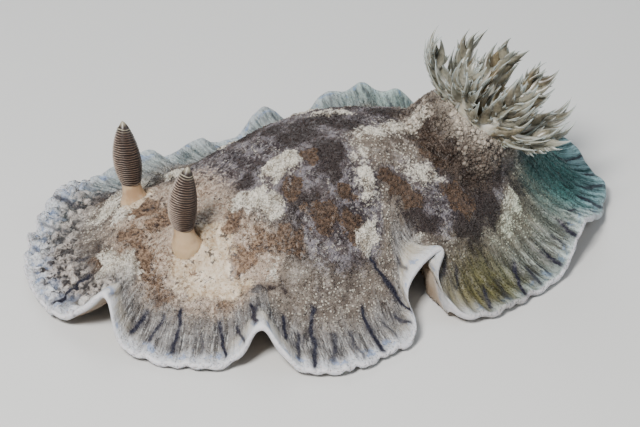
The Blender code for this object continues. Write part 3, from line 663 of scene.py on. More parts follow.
def skinFields(grid, bearing, kinds, onTop):
    shape = grid.shape[:2]
    fromEdge, around, radius, spacing = measureSkin(grid, bearing)
    side, dark = rayFields(bearing[:, None], fromEdge, spacing)
    dorsal = np.broadcast_to((kinds < 2)[None, :], shape).astype(float)
    x, y = grid[..., 0], grid[..., 1]
    pushedX, pushedY = pushedAbout(x, y)
    near, fromGill = aboutAxis(grid, gillFrame())
    wander = np.array([noise.noise(Vector((value * 0.16, 5.0, 0.0))) for value in around])
    pleat = np.sin(2 * math.pi * around / markings["pleatEvery"] + 4.5 * wander)[:, None]
    pleat = pleat * fade(np.abs(wrapped(bearing - markings["pleatAt"])), 30, 42)[:, None]
    fields = {kind: patchField(kind, pushedX, pushedY) for kind in markings["sharpness"]}
    fields.update(
        fromEdge=fromEdge, raySide=side, rayDark=dark * dorsal, dorsal=dorsal,
        halo=sum(strength * spot(pushedX, pushedY, middle, reach, 1.3)
                 for middle, reach, strength in markings["halos"]).clip(0, 1),
        warm=sum(spot(x, y, middle, reach, 1.2) for middle, reach in markings["warm"]).clip(0, 1),
        # the dark of the high back, with a lighter place on its near side
        gloom=step(x + 0.5 * y, -32, -15) * step(fromEdge, 14, 25) * (1 - 0.5 * step(x, 40, 52))
        * (1 - 0.85 * spot(pushedX, pushedY, (9.5, -6.5), (9.5, 7.0), 1.6)),
        # the gill's collar, and its paler rim
        knobby=onTop * step(fromGill, 8.9, 9.5) * fade(fromGill, 10.5, 16.5) * step(-near[..., 0], -6, 3),
        gillRim=np.exp(-((fromGill - 9.4) / 1.1) ** 2) * onTop,
        # blue-grey on the far skirt, green and teal at the rear, olive where they meet
        cool=step(y, 8, 24) * fade(fromEdge, 5, 12) * onTop * (1 - 0.7 * step(-x, 36, 46)),
        green=step(x, 8, 30) * fade(fromEdge, 14, 24) * onTop,
        teal=step(x, 31, 48) * step(y, -27, -11) * (1 - 0.6 * step(-x, -40, -34)),
        olive=spot(x, y, (19, -32), (9.5, 6.5), 1.6),
        lip=sum(np.exp(-(wrapped(bearing - at) / wide) ** 2)[:, None] * fade(fromEdge, deep * 0.5, deep)
                for at, wide, deep in markings["lips"]).clip(0, 1),
        pleat=pleat * fade(fromEdge, 7, 15) * step(fromEdge, 0.0, 2.0) * onTop,
        bubbly=step(0.35 * np.maximum(y - 10, 0) - x, 43, 50) * fade(fromEdge, 9, 14) * fade(-y, 8, 13) * onTop,
        footness=np.broadcast_to(step(kinds, 2.5, 3.5)[None, :], shape),
    )
    crowd = onTop * step(fromEdge, 4.5, 14.0) * step(fromGill, 8.9, 9.6)
    fields["granules"] = crowd * (1 - 0.96 * fields["halo"]) * (0.62 + 0.38 * fields["pale"])
    # places rolled up along the margin, for streaks that run straight out, and the skin's own flat map
    turn = np.broadcast_to((around / radius)[:, None], shape)
    ringPlace = np.stack([radius * np.cos(turn), radius * np.sin(turn), fromEdge], -1)
    chart = np.stack([np.broadcast_to((bearing / 360)[:, None], shape),
                      np.broadcast_to(np.linspace(0, 1, shape[1])[None, :], shape), np.zeros(shape)], -1)
    return fields, dict(ringPlace=ringPlace, skinMap=chart * 0.98 + 0.01)


# What stands out of the skin, in mm: each lump's fineness and height, then the other heights and sizes
relief = dict(lumps=((0.33, 0.30), (0.95, 0.26), (2.1, 0.16)), pale=0.42, pleat=0.38,
              knob=1.5, bigKnob=2.7, smallKnob=1.3, creaseWidth=0.45)


def knob(point, spacing):
    # height of rounded knobs that crowd together, 0 in the creases and 1 on top
    nearest, second = noise.voronoi(Vector(point) / spacing)[0][:2]
    return min(1.0, (second - nearest) / relief["creaseWidth"])


def roughen(grid, onTop, fields):
    # lumps over the back, raised pale patches, knobs at the front and pleats at the rear,
    # all pushed out along the skin's own normal
    normals = gridNormals(grid)
    outward = -1.0 if normals[0, 5, 2] < 0 else 1.0
    (broad, broadRise), (middle, middleRise), (fine, fineRise) = relief["lumps"]
    lumps = np.array([(noise.noise(Vector(p) * broad) * broadRise, noise.noise(Vector(p) * middle) * middleRise
                       + noise.noise(Vector(p) * fine) * fineRise) for p in grid.reshape(-1, 3)])
    lumps = lumps.reshape(*grid.shape[:2], 2)
    lumps = lumps[..., 0] + lumps[..., 1] * (1 + 1.2 * fields["pale"])
    towardsEdge = step(mantle["topRows"] - np.arange(grid.shape[1]), 0, 9)[None, :]
    calm = 1 - 0.8 * np.maximum(fields["halo"], fields["lip"])
    lumps = lumps * onTop * towardsEdge * calm + relief["pale"] * step(fields["pale"], 0.25, 0.75) * onTop
    bubbly = fields["bubbly"] * (1 - 0.5 * fields["lip"])
    tops = np.zeros_like(lumps)
    for i, j in np.argwhere(bubbly > 0.02).tolist():
        big, small = knob(grid[i, j], relief["bigKnob"]), knob(grid[i, j], relief["smallKnob"])
        tops[i, j] = smooth(big) * 0.8 + 0.2 * small
    fields["knobTop"] = tops
    lumps += bubbly * (tops - 0.5) * relief["knob"]
    return grid + normals * (outward * (lumps + relief["pleat"] * fields["pleat"]))[..., None]


def buildSkin():
    grid, bearing, kinds = skinGrid()
    onTop = np.broadcast_to((kinds < 1)[None, :], grid.shape[:2]).astype(float)
    numbers, vectors = skinFields(grid, bearing, kinds, onTop)
    grid = roughen(grid, onTop, numbers)
    columns, rows = grid.shape[:2]
    index = np.arange(columns * rows).reshape(columns, rows)
    following = np.roll(index, -1, axis=0)
    faces = np.stack([index[:, :-1], index[:, 1:], following[:, 1:], following[:, :-1]], -1).reshape(-1, 4)
    piece = newPiece("slugSkin", grid.reshape(-1, 3), faces.tolist())
    for name, values in numbers.items():
        storeField(piece.data, name, values)
    for name, values in vectors.items():
        storeField(piece.data, name, values, "FLOAT_VECTOR", "vector")
    tidyPiece(piece)
    return piece


# The noises that mottle the flesh, by what they follow: scale, detail and roughness
fleshNoises = dict(
    skin=dict(broad=(130, 3, 0.55), middle=(420, 4, 0.65), fine=(1500, 3, 0.6), creamy=(240, 3, 0.55),
              spots=(560, 4, 0.7), crowd=(620, 3, 0.7), specks=(700, 4, 0.7), crest=(620, 3, 0.6),
              rayWave=(500, 2, 0.55), rayWander=(190, 2, 0.55)),
    ring=dict(bluish=(0.35, 2, 0.55), blue=(0.42, 3, 0.55)),
    streak=dict(streaks=(0.95, 4, 0.7), broadStreaks=(0.40, 2, 0.55), flecks=(2.4, 2, 0.55)),
)
# The flesh's tones: a colour, then the rows of what toned lays over it
fleshTones = dict(
    ground=((0.088, 0.070, 0.059), ("broad", 0.38, 0.62, 1, (0.160, 0.131, 0.108)),
            ("middle", 0.46, 0.66, 1, (0.24, 0.208, 0.180))),
    high=((0.032, 0.024, 0.028), ("broad", 0.38, 0.62, 1, (0.085, 0.068, 0.070)),
          ("middle", 0.46, 0.60, 1, (0.165, 0.150, 0.166)), ("fine", 0.54, 0.64, 0.75, (0.34, 0.32, 0.315))),
    warm=((0.20, 0.128, 0.082), ("broad", 0.38, 0.62, 1, (0.385, 0.292, 0.228)),
          ("fine", 0.42, 0.60, 1, (0.47, 0.38, 0.305))),
    cream=((0.38, 0.27, 0.16), ("creamy", 0.42, 0.60, 1, (0.62, 0.505, 0.375)),
           ("fine", 0.40, 0.62, 0.5, (0.68, 0.60, 0.48)), ("spots", 0.39, 0.33, 0.9, (0.12, 0.055, 0.026))),
    brown=((0.044, 0.026, 0.016), ("fine", 0.40, 0.62, 1, (0.098, 0.058, 0.035))),
    tan=((0.108, 0.062, 0.037), ("fine", 0.40, 0.60, 1, (0.30, 0.198, 0.130)),
         ("middle", 0.48, 0.38, 0.85, (0.055, 0.031, 0.021))),
    collar=((0.022, 0.014, 0.010), ("middle", 0.40, 0.60, 1, (0.100, 0.072, 0.054))),
    white=((0.25, 0.215, 0.170), ("middle", 0.40, 0.54, 1, (0.63, 0.59, 0.515)),
           ("fine", 0.47, 0.37, 0.8, (0.14, 0.118, 0.098))),
    skirt=((0.034, 0.034, 0.038), ("streaks", 0.38, 0.58, 1, (0.212, 0.206, 0.206))),
    lip=((0.40, 0.36, 0.29), ("broadStreaks", 0.38, 0.62, 1, (0.58, 0.55, 0.49))),
    cool=((0.120, 0.165, 0.175), ("streaks", 0.34, 0.60, 1, (0.33, 0.41, 0.42))),
    olive=((0.022, 0.018, 0.004), ("streaks", 0.36, 0.62, 1, (0.130, 0.112, 0.042))),
    belly=((0.28, 0.21, 0.15), ("broad", 0.35, 0.65, 1, (0.40, 0.33, 0.26))),
)
# Single colours, and pairs that are mixed straight by a noise
fleshColours = dict(
    inky=((0.008, 0.005, 0.005), (0.044, 0.031, 0.030)), grains=((0.34, 0.29, 0.24), (0.70, 0.66, 0.58)),
    granules=((0.17, 0.142, 0.112), (0.70, 0.65, 0.56)),
    collarGranules=((0.030, 0.019, 0.014), (0.56, 0.485, 0.405)),
    # the front knobs' pair runs from painted shade in their creases to painted light on their tops
    knobs=((0.018, 0.015, 0.017), (0.50, 0.448, 0.410)), deepTeal=((0.058, 0.190, 0.182), (0.24, 0.40, 0.44)),
    seam=(0.030, 0.019, 0.015), collarRim=(0.46, 0.41, 0.345), speck=(0.022, 0.014, 0.014),
    # the pale blue-white for the front knobs is a painted highlight on their tops near the edge
    skirtGrain=(0.64, 0.62, 0.58), fleck=(0.56, 0.56, 0.55), frontKnobHighlight=(0.66, 0.69, 0.75),
    bluish=(0.20, 0.26, 0.40), nearEdge=(0.63, 0.65, 0.70), blue=(0.15, 0.23, 0.42), brim=(0.70, 0.69, 0.73),
    # the dark for the pleats' troughs is painted shade
    pleatShade=(0.055, 0.050, 0.040), greenTint=(0.84, 0.97, 0.88), darkTeal=(0.007, 0.045, 0.047),
    ray=(0.012, 0.012, 0.024), foot=(0.50, 0.42, 0.32), bellyEdge=(0.56, 0.56, 0.58),
)
# How far each mark crowds or thins the cream grains, the dark specks and the pale granules
fleshWeights = dict(
    crowd=dict(pale=0.20, dark=-0.22, brown=-0.40, gloom=-0.03, halo=-0.26, warm=-0.06),
    specks=dict(warm=-0.03, brown=-0.02, gloom=-0.02, pale=0.08, bubbly=-0.05),
    granules=dict(pale=0.45, dark=-0.70, brown=-1.0, gloom=-0.22, warm=-0.28),
)
fleshSurface = {"Specular IOR Level": 0.30, "Subsurface Weight": 0.10, "Subsurface Radius": (1.0, 0.6, 0.4),
                "Subsurface Scale": 0.0010, "Coat Weight": 0.05, "Coat Roughness": 0.25}


def backTones(tree, noises):
    # the ground of the back: grey-beige low down, purple-brown and dark high up, warm at the front
    middle, fine = noises["middle"], noises["fine"]

    def broken(name, low, high, amount=0.75):
        # a patch with a ragged, speckled outline
        rough = times(tree, centred(tree, middle), amount, field(tree, name))
        rough = times(tree, centred(tree, fine), amount * 1.1, rough)
        return ramp(tree, rough, low, high)

    tone = {name: toned(tree, noises, rows) for name, rows in fleshTones.items()}
    colour = mixed(tree, broken("gloom", 0.25, 0.70, 0.9), tone["ground"], tone["high"])
    colour = laidOver(tree, colour, tone["warm"], broken("warm", 0.25, 0.65), 0.85)
    halo = broken("halo", 0.34, 0.70, 0.6)
    colour = laidOver(tree, colour, tone["cream"], halo, 0.92)
    inky = mixed(tree, fine, *fleshColours["inky"])
    colour = mixed(tree, broken("dark", 0.30, 0.56), colour, inky)
    brown = laidOver(tree, tone["brown"], tone["tan"], field(tree, "warm"), 0.85)
    within = broken("brown", 0.28, 0.50, 1.05)
    colour = laidOver(tree, colour, brown, within, 0.95)
    seam = times(tree, ramp(tree, within, 0.0, 0.3), ramp(tree, within, 0.95, 0.5))
    seam = times(tree, seam, ramp(tree, middle, 0.58, 0.46, 0.0, 0.9))
    colour = mixed(tree, seam, colour, fleshColours["seam"])
    colour = laidOver(tree, colour, tone["collar"], field(tree, "knobby"), 0.9)
    rimPale = times(tree, field(tree, "gillRim"), ramp(tree, middle, 0.36, 0.50, 0.0, 0.9))
    colour = mixed(tree, rimPale, colour, fleshColours["collarRim"])
    return mixed(tree, broken("pale", 0.34, 0.60, 0.85), colour, tone["white"]), halo, tone


def creamGrains(tree, place, noises, colour):
    # the finest cream grains, thick on pale patches and thin on dark ones, with black specks between
    knobs = addNode(tree, "ShaderNodeTexVoronoi", {"Vector": place, "Scale": 1700})
    dome = ramp(tree, knobs.outputs["Distance"], 0.20, 0.50, 1.0, 0.0)
    crowd = fieldSum(tree, noises["crowd"], fleshWeights["crowd"])
    shown = times(tree, dome, ramp(tree, crowd, 0.48, 0.60))
    cream = mixed(tree, knobs.outputs["Color"], *fleshColours["grains"])
    colour = laidOver(tree, colour, cream, shown, 0.85)
    specks = ramp(tree, fieldSum(tree, noises["specks"], fleshWeights["specks"]), 0.335, 0.405, 1.0, 0.0)
    return laidOver(tree, colour, fleshColours["speck"], specks, 0.85), dome, shown


def granuleTones(tree, noises, colour):
    # granules are paler than the skin by luck, and most of all round the gill
    luck = fieldSum(tree, field(tree, "tone"), fleshWeights["granules"])
    cream = mixed(tree, field(tree, "tone"), *fleshColours["granules"])
    colour = mixed(tree, ramp(tree, luck, 0.64, 1.10, 0.0, 0.85), colour, cream)
    collar = times(tree, ramp(tree, noises["broad"], 0.40, 0.62), 0.45, calc(tree, "POWER", luck, 1.6))
    collar = fieldSum(tree, calc(tree, "SUBTRACT", collar, 0.22), dict(gillRim=0.45))
    collar = mixed(tree, collar, *fleshColours["collarGranules"])
    return laidOver(tree, colour, collar, field(tree, "knobby"), 0.85)


def skirtTones(tree, noises, tone, edge, shown, colour):
    # the skirt turns grey and clear, with white streaks that run out to a thin white edge
    streaks, broadStreaks = noises["streaks"], noises["broadStreaks"]
    outer = ramp(tree, times(tree, broadStreaks, -7.0, edge), 3.0, 11.0, 1.0, 0.0)
    grey = laidOver(tree, tone["skirt"], fleshColours["skirtGrain"], shown, 0.45)
    flecks = times(tree, ramp(tree, noises["flecks"], 0.55, 0.64, 0.0, 0.6), ramp(tree, edge, 1.0, 4.0))
    grey = mixed(tree, flecks, grey, fleshColours["fleck"])
    colour = laidOver(tree, colour, grey, outer, 0.86)
    # the knobs of the front margin: painted shade in the creases between them and painted light on their tops
    crest = ramp(tree, noises["crest"], 0.40, 0.60)
    height = times(tree, field(tree, "knobTop"), 0.42, times(tree, crest, 0.42))
    height = calc(tree, "ADD", times(tree, centred(tree, streaks), 0.9, 0.05), height)
    height = ramp(tree, height, 0.15, 0.74)
    knobs = mixed(tree, height, *fleshColours["knobs"])
    # near the edge the knob tops take a painted highlight, paler and bluish white
    knobs = mixed(tree, times(tree, ramp(tree, edge, 7.0, 2.5), height), knobs, fleshColours["frontKnobHighlight"])
    bluish = times(tree, ramp(tree, noises["bluish"], 0.48, 0.62, 0.0, 0.6), ramp(tree, edge, 8.0, 4.0))
    knobs = mixed(tree, bluish, knobs, fleshColours["bluish"])
    colour = laidOver(tree, colour, knobs, field(tree, "bubbly"), 0.85)
    colour = laidOver(tree, colour, tone["lip"], field(tree, "lip"), 0.88)
    # the margin: streaks of white, a broken blue band and the white brim
    nearEdge = ramp(tree, times(tree, streaks, -6.5, edge), -2.4, 1.4, 1.0, 0.0)
    colour = laidOver(tree, colour, fleshColours["nearEdge"], nearEdge, 0.80)
    colour = laidOver(tree, colour, tone["cool"], field(tree, "cool"), 0.55)
    blueBand = times(tree, ramp(tree, edge, 1.0, 1.8), ramp(tree, edge, 4.5, 2.5))
    blue = times(tree, ramp(tree, noises["blue"], 0.53, 0.62, 0.0, 0.6), blueBand)
    colour = mixed(tree, blue, colour, fleshColours["blue"])
    colour = mixed(tree, ramp(tree, edge, 0.3, 1.1, 0.9, 0.0), colour, fleshColours["brim"])
    # the rear: painted shade in the pleats' troughs, olive, green and teal
    pleatShade = ramp(tree, field(tree, "pleat"), -0.75, 0.15, 0.5, 0.0)
    colour = mixed(tree, pleatShade, colour, fleshColours["pleatShade"])
    colour = laidOver(tree, colour, tone["olive"], field(tree, "olive"), 0.94)
    green = times(tree, field(tree, "green"), 0.9)
    colour = mixed(tree, green, colour, fleshColours["greenTint"], "MULTIPLY")
    deep = mixed(tree, ramp(tree, edge, 9.0, 1.0), *fleshColours["deepTeal"])
    teal = mixed(tree, ramp(tree, streaks, 0.34, 0.62), fleshColours["darkTeal"], deep)
    return laidOver(tree, colour, teal, field(tree, "teal"), 0.94), crest


def darkRays(tree, noises, colour):
    # dark rays with soft, uneven sides
    wave = times(tree, centred(tree, noises["rayWave"]), 0.8, field(tree, "raySide"))
    wave = times(tree, centred(tree, noises["rayWander"]), 2.4, wave)
    off = calc(tree, "ABSOLUTE", wave)
    line = calc(tree, "MAXIMUM", ramp(tree, off, 0.15, 0.72, 1.0, 0.0), ramp(tree, off, 0.2, 1.5, 0.45, 0.0))
    return mixed(tree, times(tree, line, field(tree, "rayDark")), colour, fleshColours["ray"])


def fleshMaterial(name, granules=False):
    material, tree, shader, place = newMaterial(name)
    ring, edge = field(tree, "ringPlace", "Vector"), field(tree, "fromEdge")
    streak = addNode(tree, "ShaderNodeMapping", {"Vector": ring, "Scale": (1.0, 1.0, 0.13)}).outputs[0]
    places = dict(skin=place, ring=ring, streak=streak)
    noises = {label: grain(tree, places[kind], *sizes)
              for kind, rows in fleshNoises.items() for label, sizes in rows.items()}
    colour, halo, tone = backTones(tree, noises)
    colour, dome, shown = creamGrains(tree, place, noises, colour)
    if granules:
        colour = granuleTones(tree, noises, colour)
    colour, crest = skirtTones(tree, noises, tone, edge, shown, colour)
    colour = darkRays(tree, noises, colour)
    # underneath, plain flesh
    belly = mixed(tree, field(tree, "footness"), tone["belly"], fleshColours["foot"])
    belly = mixed(tree, ramp(tree, edge, 0.6, 3.0, 0.8, 0.0), belly, fleshColours["bellyEdge"])
    colour = mixed(tree, field(tree, "dorsal"), belly, colour)
    # the fine relief, calmer on the smooth places
    height = times(tree, dome, 0.55, times(tree, noises["middle"], 0.9))
    height = times(tree, noises["fine"], 0.35, height)
    height = calc(tree, "ADD", times(tree, crest, field(tree, "bubbly")), height)
    calm = calc(tree, "MAXIMUM", halo, field(tree, "lip"))
    height = times(tree, height, ramp(tree, calm, 0.0, 1.0, 1.0, 0.25))
    surface = {"Roughness": ramp(tree, noises["middle"], 0.3, 0.7, 0.36, 0.60), **fleshSurface}
    finishShader(tree, shader, colour, surface, height, strength=0.8, depth=0.0005)
    return material


fillHiddenSide()
skin = buildSkin()
skin.data.materials.append(fleshMaterial("fleshSkin"))
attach(skin, "root")
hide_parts("back_head", "back_middle", "back_gill", "skirt_tail", "skirt_right_rear",
            "skirt_right_middle", "skirt_right_front", "skirt_head", "skirt_left_front",
            "skirt_left_middle", "skirt_left_rear", "foot", "foot_tail")
print("stage: skin of", len(skin.data.polygons), "faces")


# Helpers for Geometry Nodes
def newTree(name, numbers):
    tree = bpy.data.node_groups.new(name, "GeometryNodeTree")
    tree.interface.new_socket("Geometry", in_out="INPUT", socket_type="NodeSocketGeometry")
    for label, value in numbers.items():
        kind = "NodeSocketInt" if isinstance(value, int) else "NodeSocketFloat"
        socket = tree.interface.new_socket(label, in_out="INPUT", socket_type=kind)
        socket.default_value = value
    tree.interface.new_socket("Geometry", in_out="OUTPUT", socket_type="NodeSocketGeometry")
    start = tree.nodes.new("NodeGroupInput")
    return tree, start


def endTree(tree, geometry, material):
    smoothed = addNode(tree, "GeometryNodeSetShadeSmooth", {"Geometry": geometry})
    dressed = addNode(tree, "GeometryNodeSetMaterial", {"Geometry": smoothed.outputs[0], "Material": material})
    finish = tree.nodes.new("NodeGroupOutput")
    tree.links.new(dressed.outputs[0], finish.inputs[0])


def growPiece(name, source, tree, numbers, matrix=None):
    # runs a tree on the source mesh and keeps the result as a plain mesh at the origin
    holder = bpy.data.objects.new(name, source)
    bpy.context.scene.collection.objects.link(holder)
    modifier = holder.modifiers.new("grow", "NODES")
    modifier.node_group = tree
    for item in tree.interface.items_tree:
        if item.in_out == "INPUT" and item.name in numbers:
            modifier[item.identifier] = numbers[item.name]
    bpy.context.view_layer.update()
    mesh = bpy.data.meshes.new_from_object(holder.evaluated_get(bpy.context.evaluated_depsgraph_get()))
    holder.modifiers.remove(modifier)
    holder.data = mesh
    mesh.name = name
    if matrix is not None:
        mesh.transform(matrix)
    return holder


def metres(matrix):
    # a frame in mm as one in metres
    scaled = matrix.copy()
    scaled.translation = scaled.translation * mm
    return scaled


def lathe(name, profile, matrix, sides, material):
    # a closed turned shape from (radius, height) pairs in mm, running upwards
    verts, faces = [(0, 0, profile[0][1])], []
    turns = [2 * math.pi * k / sides for k in range(sides)]
    for radius, height in profile:
        verts += [(radius * math.cos(turn), radius * math.sin(turn), height) for turn in turns]
    verts.append((0, 0, profile[-1][1]))
    last = 1 + (len(profile) - 1) * sides
    for k in range(sides):
        m = (k + 1) % sides
        faces.append((0, 1 + m, 1 + k))
        for row in range(len(profile) - 1):
            a, b = 1 + row * sides, 1 + (row + 1) * sides
            faces.append((a + k, a + m, b + m, b + k))
        faces.append((last + k, last + m, len(verts) - 1))
    piece = newPiece(name, outOfFrame(np.array(verts, float), matrix), faces)
    tidyPiece(piece)
    piece.data.materials.append(material)
    return piece


def readField(tree, name, kind="FLOAT"):
    return addNode(tree, "GeometryNodeInputNamedAttribute", {"Name": name}, data_type=kind).outputs[0]


def keepField(tree, geometry, name, value, kind="FLOAT", domain="POINT"):
    return addNode(tree, "GeometryNodeStoreNamedAttribute", {"Geometry": geometry, "Name": name, "Value": value},
                   data_type=kind, domain=domain).outputs[0]


def drawNumber(tree, low, high, seed):
    # a random number for each point, from the float sockets of the node
    return addNode(tree, "FunctionNodeRandomValue", {2: low, 3: high, "Seed": seed}, data_type="FLOAT").outputs[1]


def compared(tree, first, second, operation):
    return addNode(tree, "FunctionNodeCompare", {"A": first, "B": second}, operation=operation).outputs[0]


def vectorCalc(tree, operation, *values, output=0):
    return addNode(tree, "ShaderNodeVectorMath", dict(enumerate(values)), operation=operation).outputs[output]


def vector(tree, x=0.0, y=0.0, z=0.0):
    return addNode(tree, "ShaderNodeCombineXYZ", {0: x, 1: y, 2: z}).outputs[0]


def placedOn(tree, points, instance, rotation, scale):
    # an instance on each point, made real
    placed = addNode(tree, "GeometryNodeInstanceOnPoints",
                     {"Points": points, "Instance": instance, "Rotation": rotation, "Scale": scale})
    return addNode(tree, "GeometryNodeRealizeInstances", {"Geometry": placed.outputs[0]}).outputs[0]


# Granules: low round papillae that stand out of the back, coarser on the gill's collar
granule = dict(
    zones=[-64, -36, -20, -6, 8, 24, 64], seed=5, patch=0.003,
    back=dict(density=9.0, size=0.21, spread=0.6), collar=dict(density=1.9, size=0.46, spread=0.7),
    # a dome's height and lift, its least size and how rare the big ones are
    flat=0.70, lift=0.12, least=0.55, rarity=2.2,
)


def granuleTree(material, mask):
    tree, start = newTree("scatter_" + mask, {"Density": 1.0, "From X": -1.0, "To X": 1.0, "Size": 0.001,
                                             "Spread": 0.5, "Patch": 0.003, "Seed": 1})
    given = start.outputs
    place = addNode(tree, "GeometryNodeInputPosition").outputs[0]
    x = addNode(tree, "ShaderNodeSeparateXYZ", {0: place}).outputs[0]
    inside = addNode(tree, "FunctionNodeBooleanMath", {
        0: compared(tree, x, given["From X"], "GREATER_EQUAL"), 1: compared(tree, x, given["To X"], "LESS_THAN"),
    }, operation="AND").outputs[0]
    scatter = addNode(tree, "GeometryNodeDistributePointsOnFaces", {
        "Mesh": given["Geometry"], "Selection": inside, "Seed": given["Seed"],
        "Density": times(tree, readField(tree, mask), given["Density"]),
    }, distribute_method="RANDOM").outputs
    dome = addNode(tree, "GeometryNodeMeshIcoSphere", {"Radius": 1.0, "Subdivisions": 1}).outputs["Mesh"]
    dome = addNode(tree, "GeometryNodeTransform", {
        "Geometry": dome, "Scale": (1.0, 1.0, granule["flat"]), "Translation": (0.0, 0.0, granule["lift"])})
    dome = keepField(tree, dome.outputs[0], "localPlace", place, "FLOAT_VECTOR")
    chance = drawNumber(tree, 0.0, 1.0, 3)
    size = times(tree, calc(tree, "POWER", chance, granule["rarity"]), given["Spread"], granule["least"])
    points = keepField(tree, scatter["Points"], "tone", chance)
    domes = placedOn(tree, points, dome, scatter["Rotation"], times(tree, size, given["Size"]))
    # each granule's map is a small patch about its root's place on the skin's own map
    patch = vectorCalc(tree, "MULTIPLY_ADD", readField(tree, "localPlace", "FLOAT_VECTOR"), given["Patch"],
                       readField(tree, "skinMap", "FLOAT_VECTOR"))
    endTree(tree, keepField(tree, domes, "OFBake", patch, "FLOAT2", "CORNER"), material)
    return tree


def scatterGranules():
    look = fleshMaterial("fleshGranules", granules=True)
    zones = granule["zones"]
    jobs = [(f"granules_{k + 1}", "granules", low, high, granule["back"])
            for k, (low, high) in enumerate(zip(zones[:-1], zones[1:]))]
    jobs.append(("granulesGill", "knobby", zones[0], zones[-1], granule["collar"]))
    trees = {mask: granuleTree(look, mask) for mask in ("granules", "knobby")}
    for number, (name, mask, low, high, sizes) in enumerate(jobs):
        piece = growPiece(name, skin.data, trees[mask], {
            "Density": sizes["density"] * 1e6, "From X": low * mm, "To X": high * mm, "Size": sizes["size"] * mm,
            "Spread": sizes["spread"], "Patch": granule["patch"], "Seed": granule["seed"] + number})
        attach(piece, "root")
        print("stage:", name, "of", len(piece.data.polygons), "faces")


scatterGranules()


# Rhinophores: a smooth stalk and a club of thin slanting leaves
club = dict(
    length=13.0, radius=3.0, bend=dict(left=1.0, right=0.3), seed=8,
    # its width is a sine along its length: where that starts, how far it runs, its power and how much it tapers
    begin=0.20, run=0.74, power=0.8, taper=0.15,
    leaves=26, leafEnd=0.90, leafThickness=0.15, tilt=7.0, unevenTilt=0.018, wave=0.6, waveScale=480.0,
    # the core inside the leaves: its share of their width, where it ends, and its tip's widths and heights
    coreWidth=0.87, coreEnd=0.92,
    tip=((0.92, 0.15), (0.76, 0.38), (0.58, 0.64), (0.38, 0.92), (0.20, 1.12), (0.06, 1.22)),
    # grooves and rims grow paler towards the club's front: painted light on the side the lamp falls on
    grooves=((0.018, 0.010, 0.008), ("paintedFrontLight", -0.05, 0.95, 1, (0.085, 0.056, 0.044))),
    rims=((0.15, 0.100, 0.072), ("paintedFrontLight", -0.05, 0.95, 1, (0.47, 0.375, 0.31))),
    over=(("speckle", 0.45, 0.62, 0.35, (0.05, 0.03, 0.022)), ("height", 0.93, 1.0, 1, (0.30, 0.27, 0.20))),
    surface={"Roughness": 0.42, "Coat Weight": 0.15, "Coat Roughness": 0.25},
)
stalk = dict(
    length=6.2, profile=[(2.92, 0.8), (2.82, 1.5), (2.5, 2.1), (2.22, 2.8), (2.0, 3.6), (1.9, 4.4)],
    tone=((0.345, 0.220, 0.125), ("mottle", 0.38, 0.66, 1, (0.50, 0.36, 0.22)),
          ("height", 0.45, 0.05, 0.7, (0.58, 0.43, 0.265))),
    surface={"Roughness": 0.30, "Subsurface Weight": 0.4, "Subsurface Radius": (1.0, 0.6, 0.4),
             "Subsurface Scale": 0.0012},
)


def clubWidth(share):
    swell = math.sin(math.pi * (club["begin"] + club["run"] * share)) ** club["power"]
    return swell * (1 - club["taper"] * share)


def clubMaterial():
    material, tree, shader, place = newMaterial("clubFlesh")
    sources = {name: field(tree, name) for name in ("paintedFrontLight", "rim", "height")}
    sources["speckle"] = grain(tree, place, 1600, 2)
    grooves, rims = toned(tree, sources, club["grooves"]), toned(tree, sources, club["rims"])
    colour = toned(tree, sources, (grooves, ("rim", 0.86, 0.99, 1, rims), *club["over"]))
    finishShader(tree, shader, colour, club["surface"])
    return material


def stalkMaterial():
    material, tree, shader, place = newMaterial("stalkFlesh")
    sources = dict(height=field(tree, "height"), mottle=grain(tree, place, 300, 3))
    colour = toned(tree, sources, stalk["tone"])
    finishShader(tree, shader, colour, stalk["surface"], grain(tree, place, 900, 3), strength=0.25, depth=0.0003)
    return material


def leafTree(material):
    tree, start = newTree("clubLeaves", {"Leaves": 20, "Low": 0.0, "High": 1.0, "Radius": 1.0, "Thickness": 0.1,
                                         "Tilt": 0.1})
    given = start.outputs
    index = addNode(tree, "GeometryNodeInputIndex").outputs[0]
    share = calc(tree, "DIVIDE", index, calc(tree, "SUBTRACT", given["Leaves"], 1.0))
    line = addNode(tree, "GeometryNodeMeshLine", {
        "Count": given["Leaves"], "Start Location": vector(tree, z=given["Low"]),
        "Offset": vector(tree, z=given["High"])}, mode="END_POINTS").outputs[0]
    # as wide as clubWidth says
    along = times(tree, share, club["leafEnd"])
    swell = calc(tree, "SINE", times(tree, times(tree, along, club["run"], club["begin"]), math.pi))
    width = times(tree, calc(tree, "POWER", swell, club["power"]), times(tree, along, -club["taper"], 1.0))
    radius = times(tree, width, given["Radius"])
    leaf = addNode(tree, "GeometryNodeMeshUVSphere", {"Segments": 44, "Rings": 8, "Radius": 1.0}).outputs["Mesh"]
    place = addNode(tree, "GeometryNodeInputPosition").outputs[0]
    flat = vectorCalc(tree, "MULTIPLY", place, (1.0, 1.0, 0.0))
    rim = vectorCalc(tree, "LENGTH", flat, output="Value")
    # how far towards the club's front a point lies, where painted light makes the leaves paler
    front = vectorCalc(tree, "DOT_PRODUCT", place, (-0.92, 0.39, 0.0), output="Value")
    for name, value in (("rim", rim), ("paintedFrontLight", front)):
        leaf = keepField(tree, leaf, name, value)
    uneven = drawNumber(tree, -club["unevenTilt"], club["unevenTilt"], club["seed"])
    turn = vector(tree, uneven, calc(tree, "ADD", given["Tilt"], uneven))
    leaves = placedOn(tree, keepField(tree, line, "height", share), leaf, turn,
                      vector(tree, radius, radius, given["Thickness"]))
    # the leaves wave a little and run into each other
    wave = addNode(tree, "ShaderNodeTexNoise", {"Vector": place, "Scale": club["waveScale"], "Detail": 2.0})
    rise = times(tree, centred(tree, wave.outputs["Fac"]), club["wave"] * mm)
    leaves = addNode(tree, "GeometryNodeSetPosition", {"Geometry": leaves, "Offset": vector(tree, z=rise)})
    endTree(tree, leaves.outputs[0], material)
    return tree


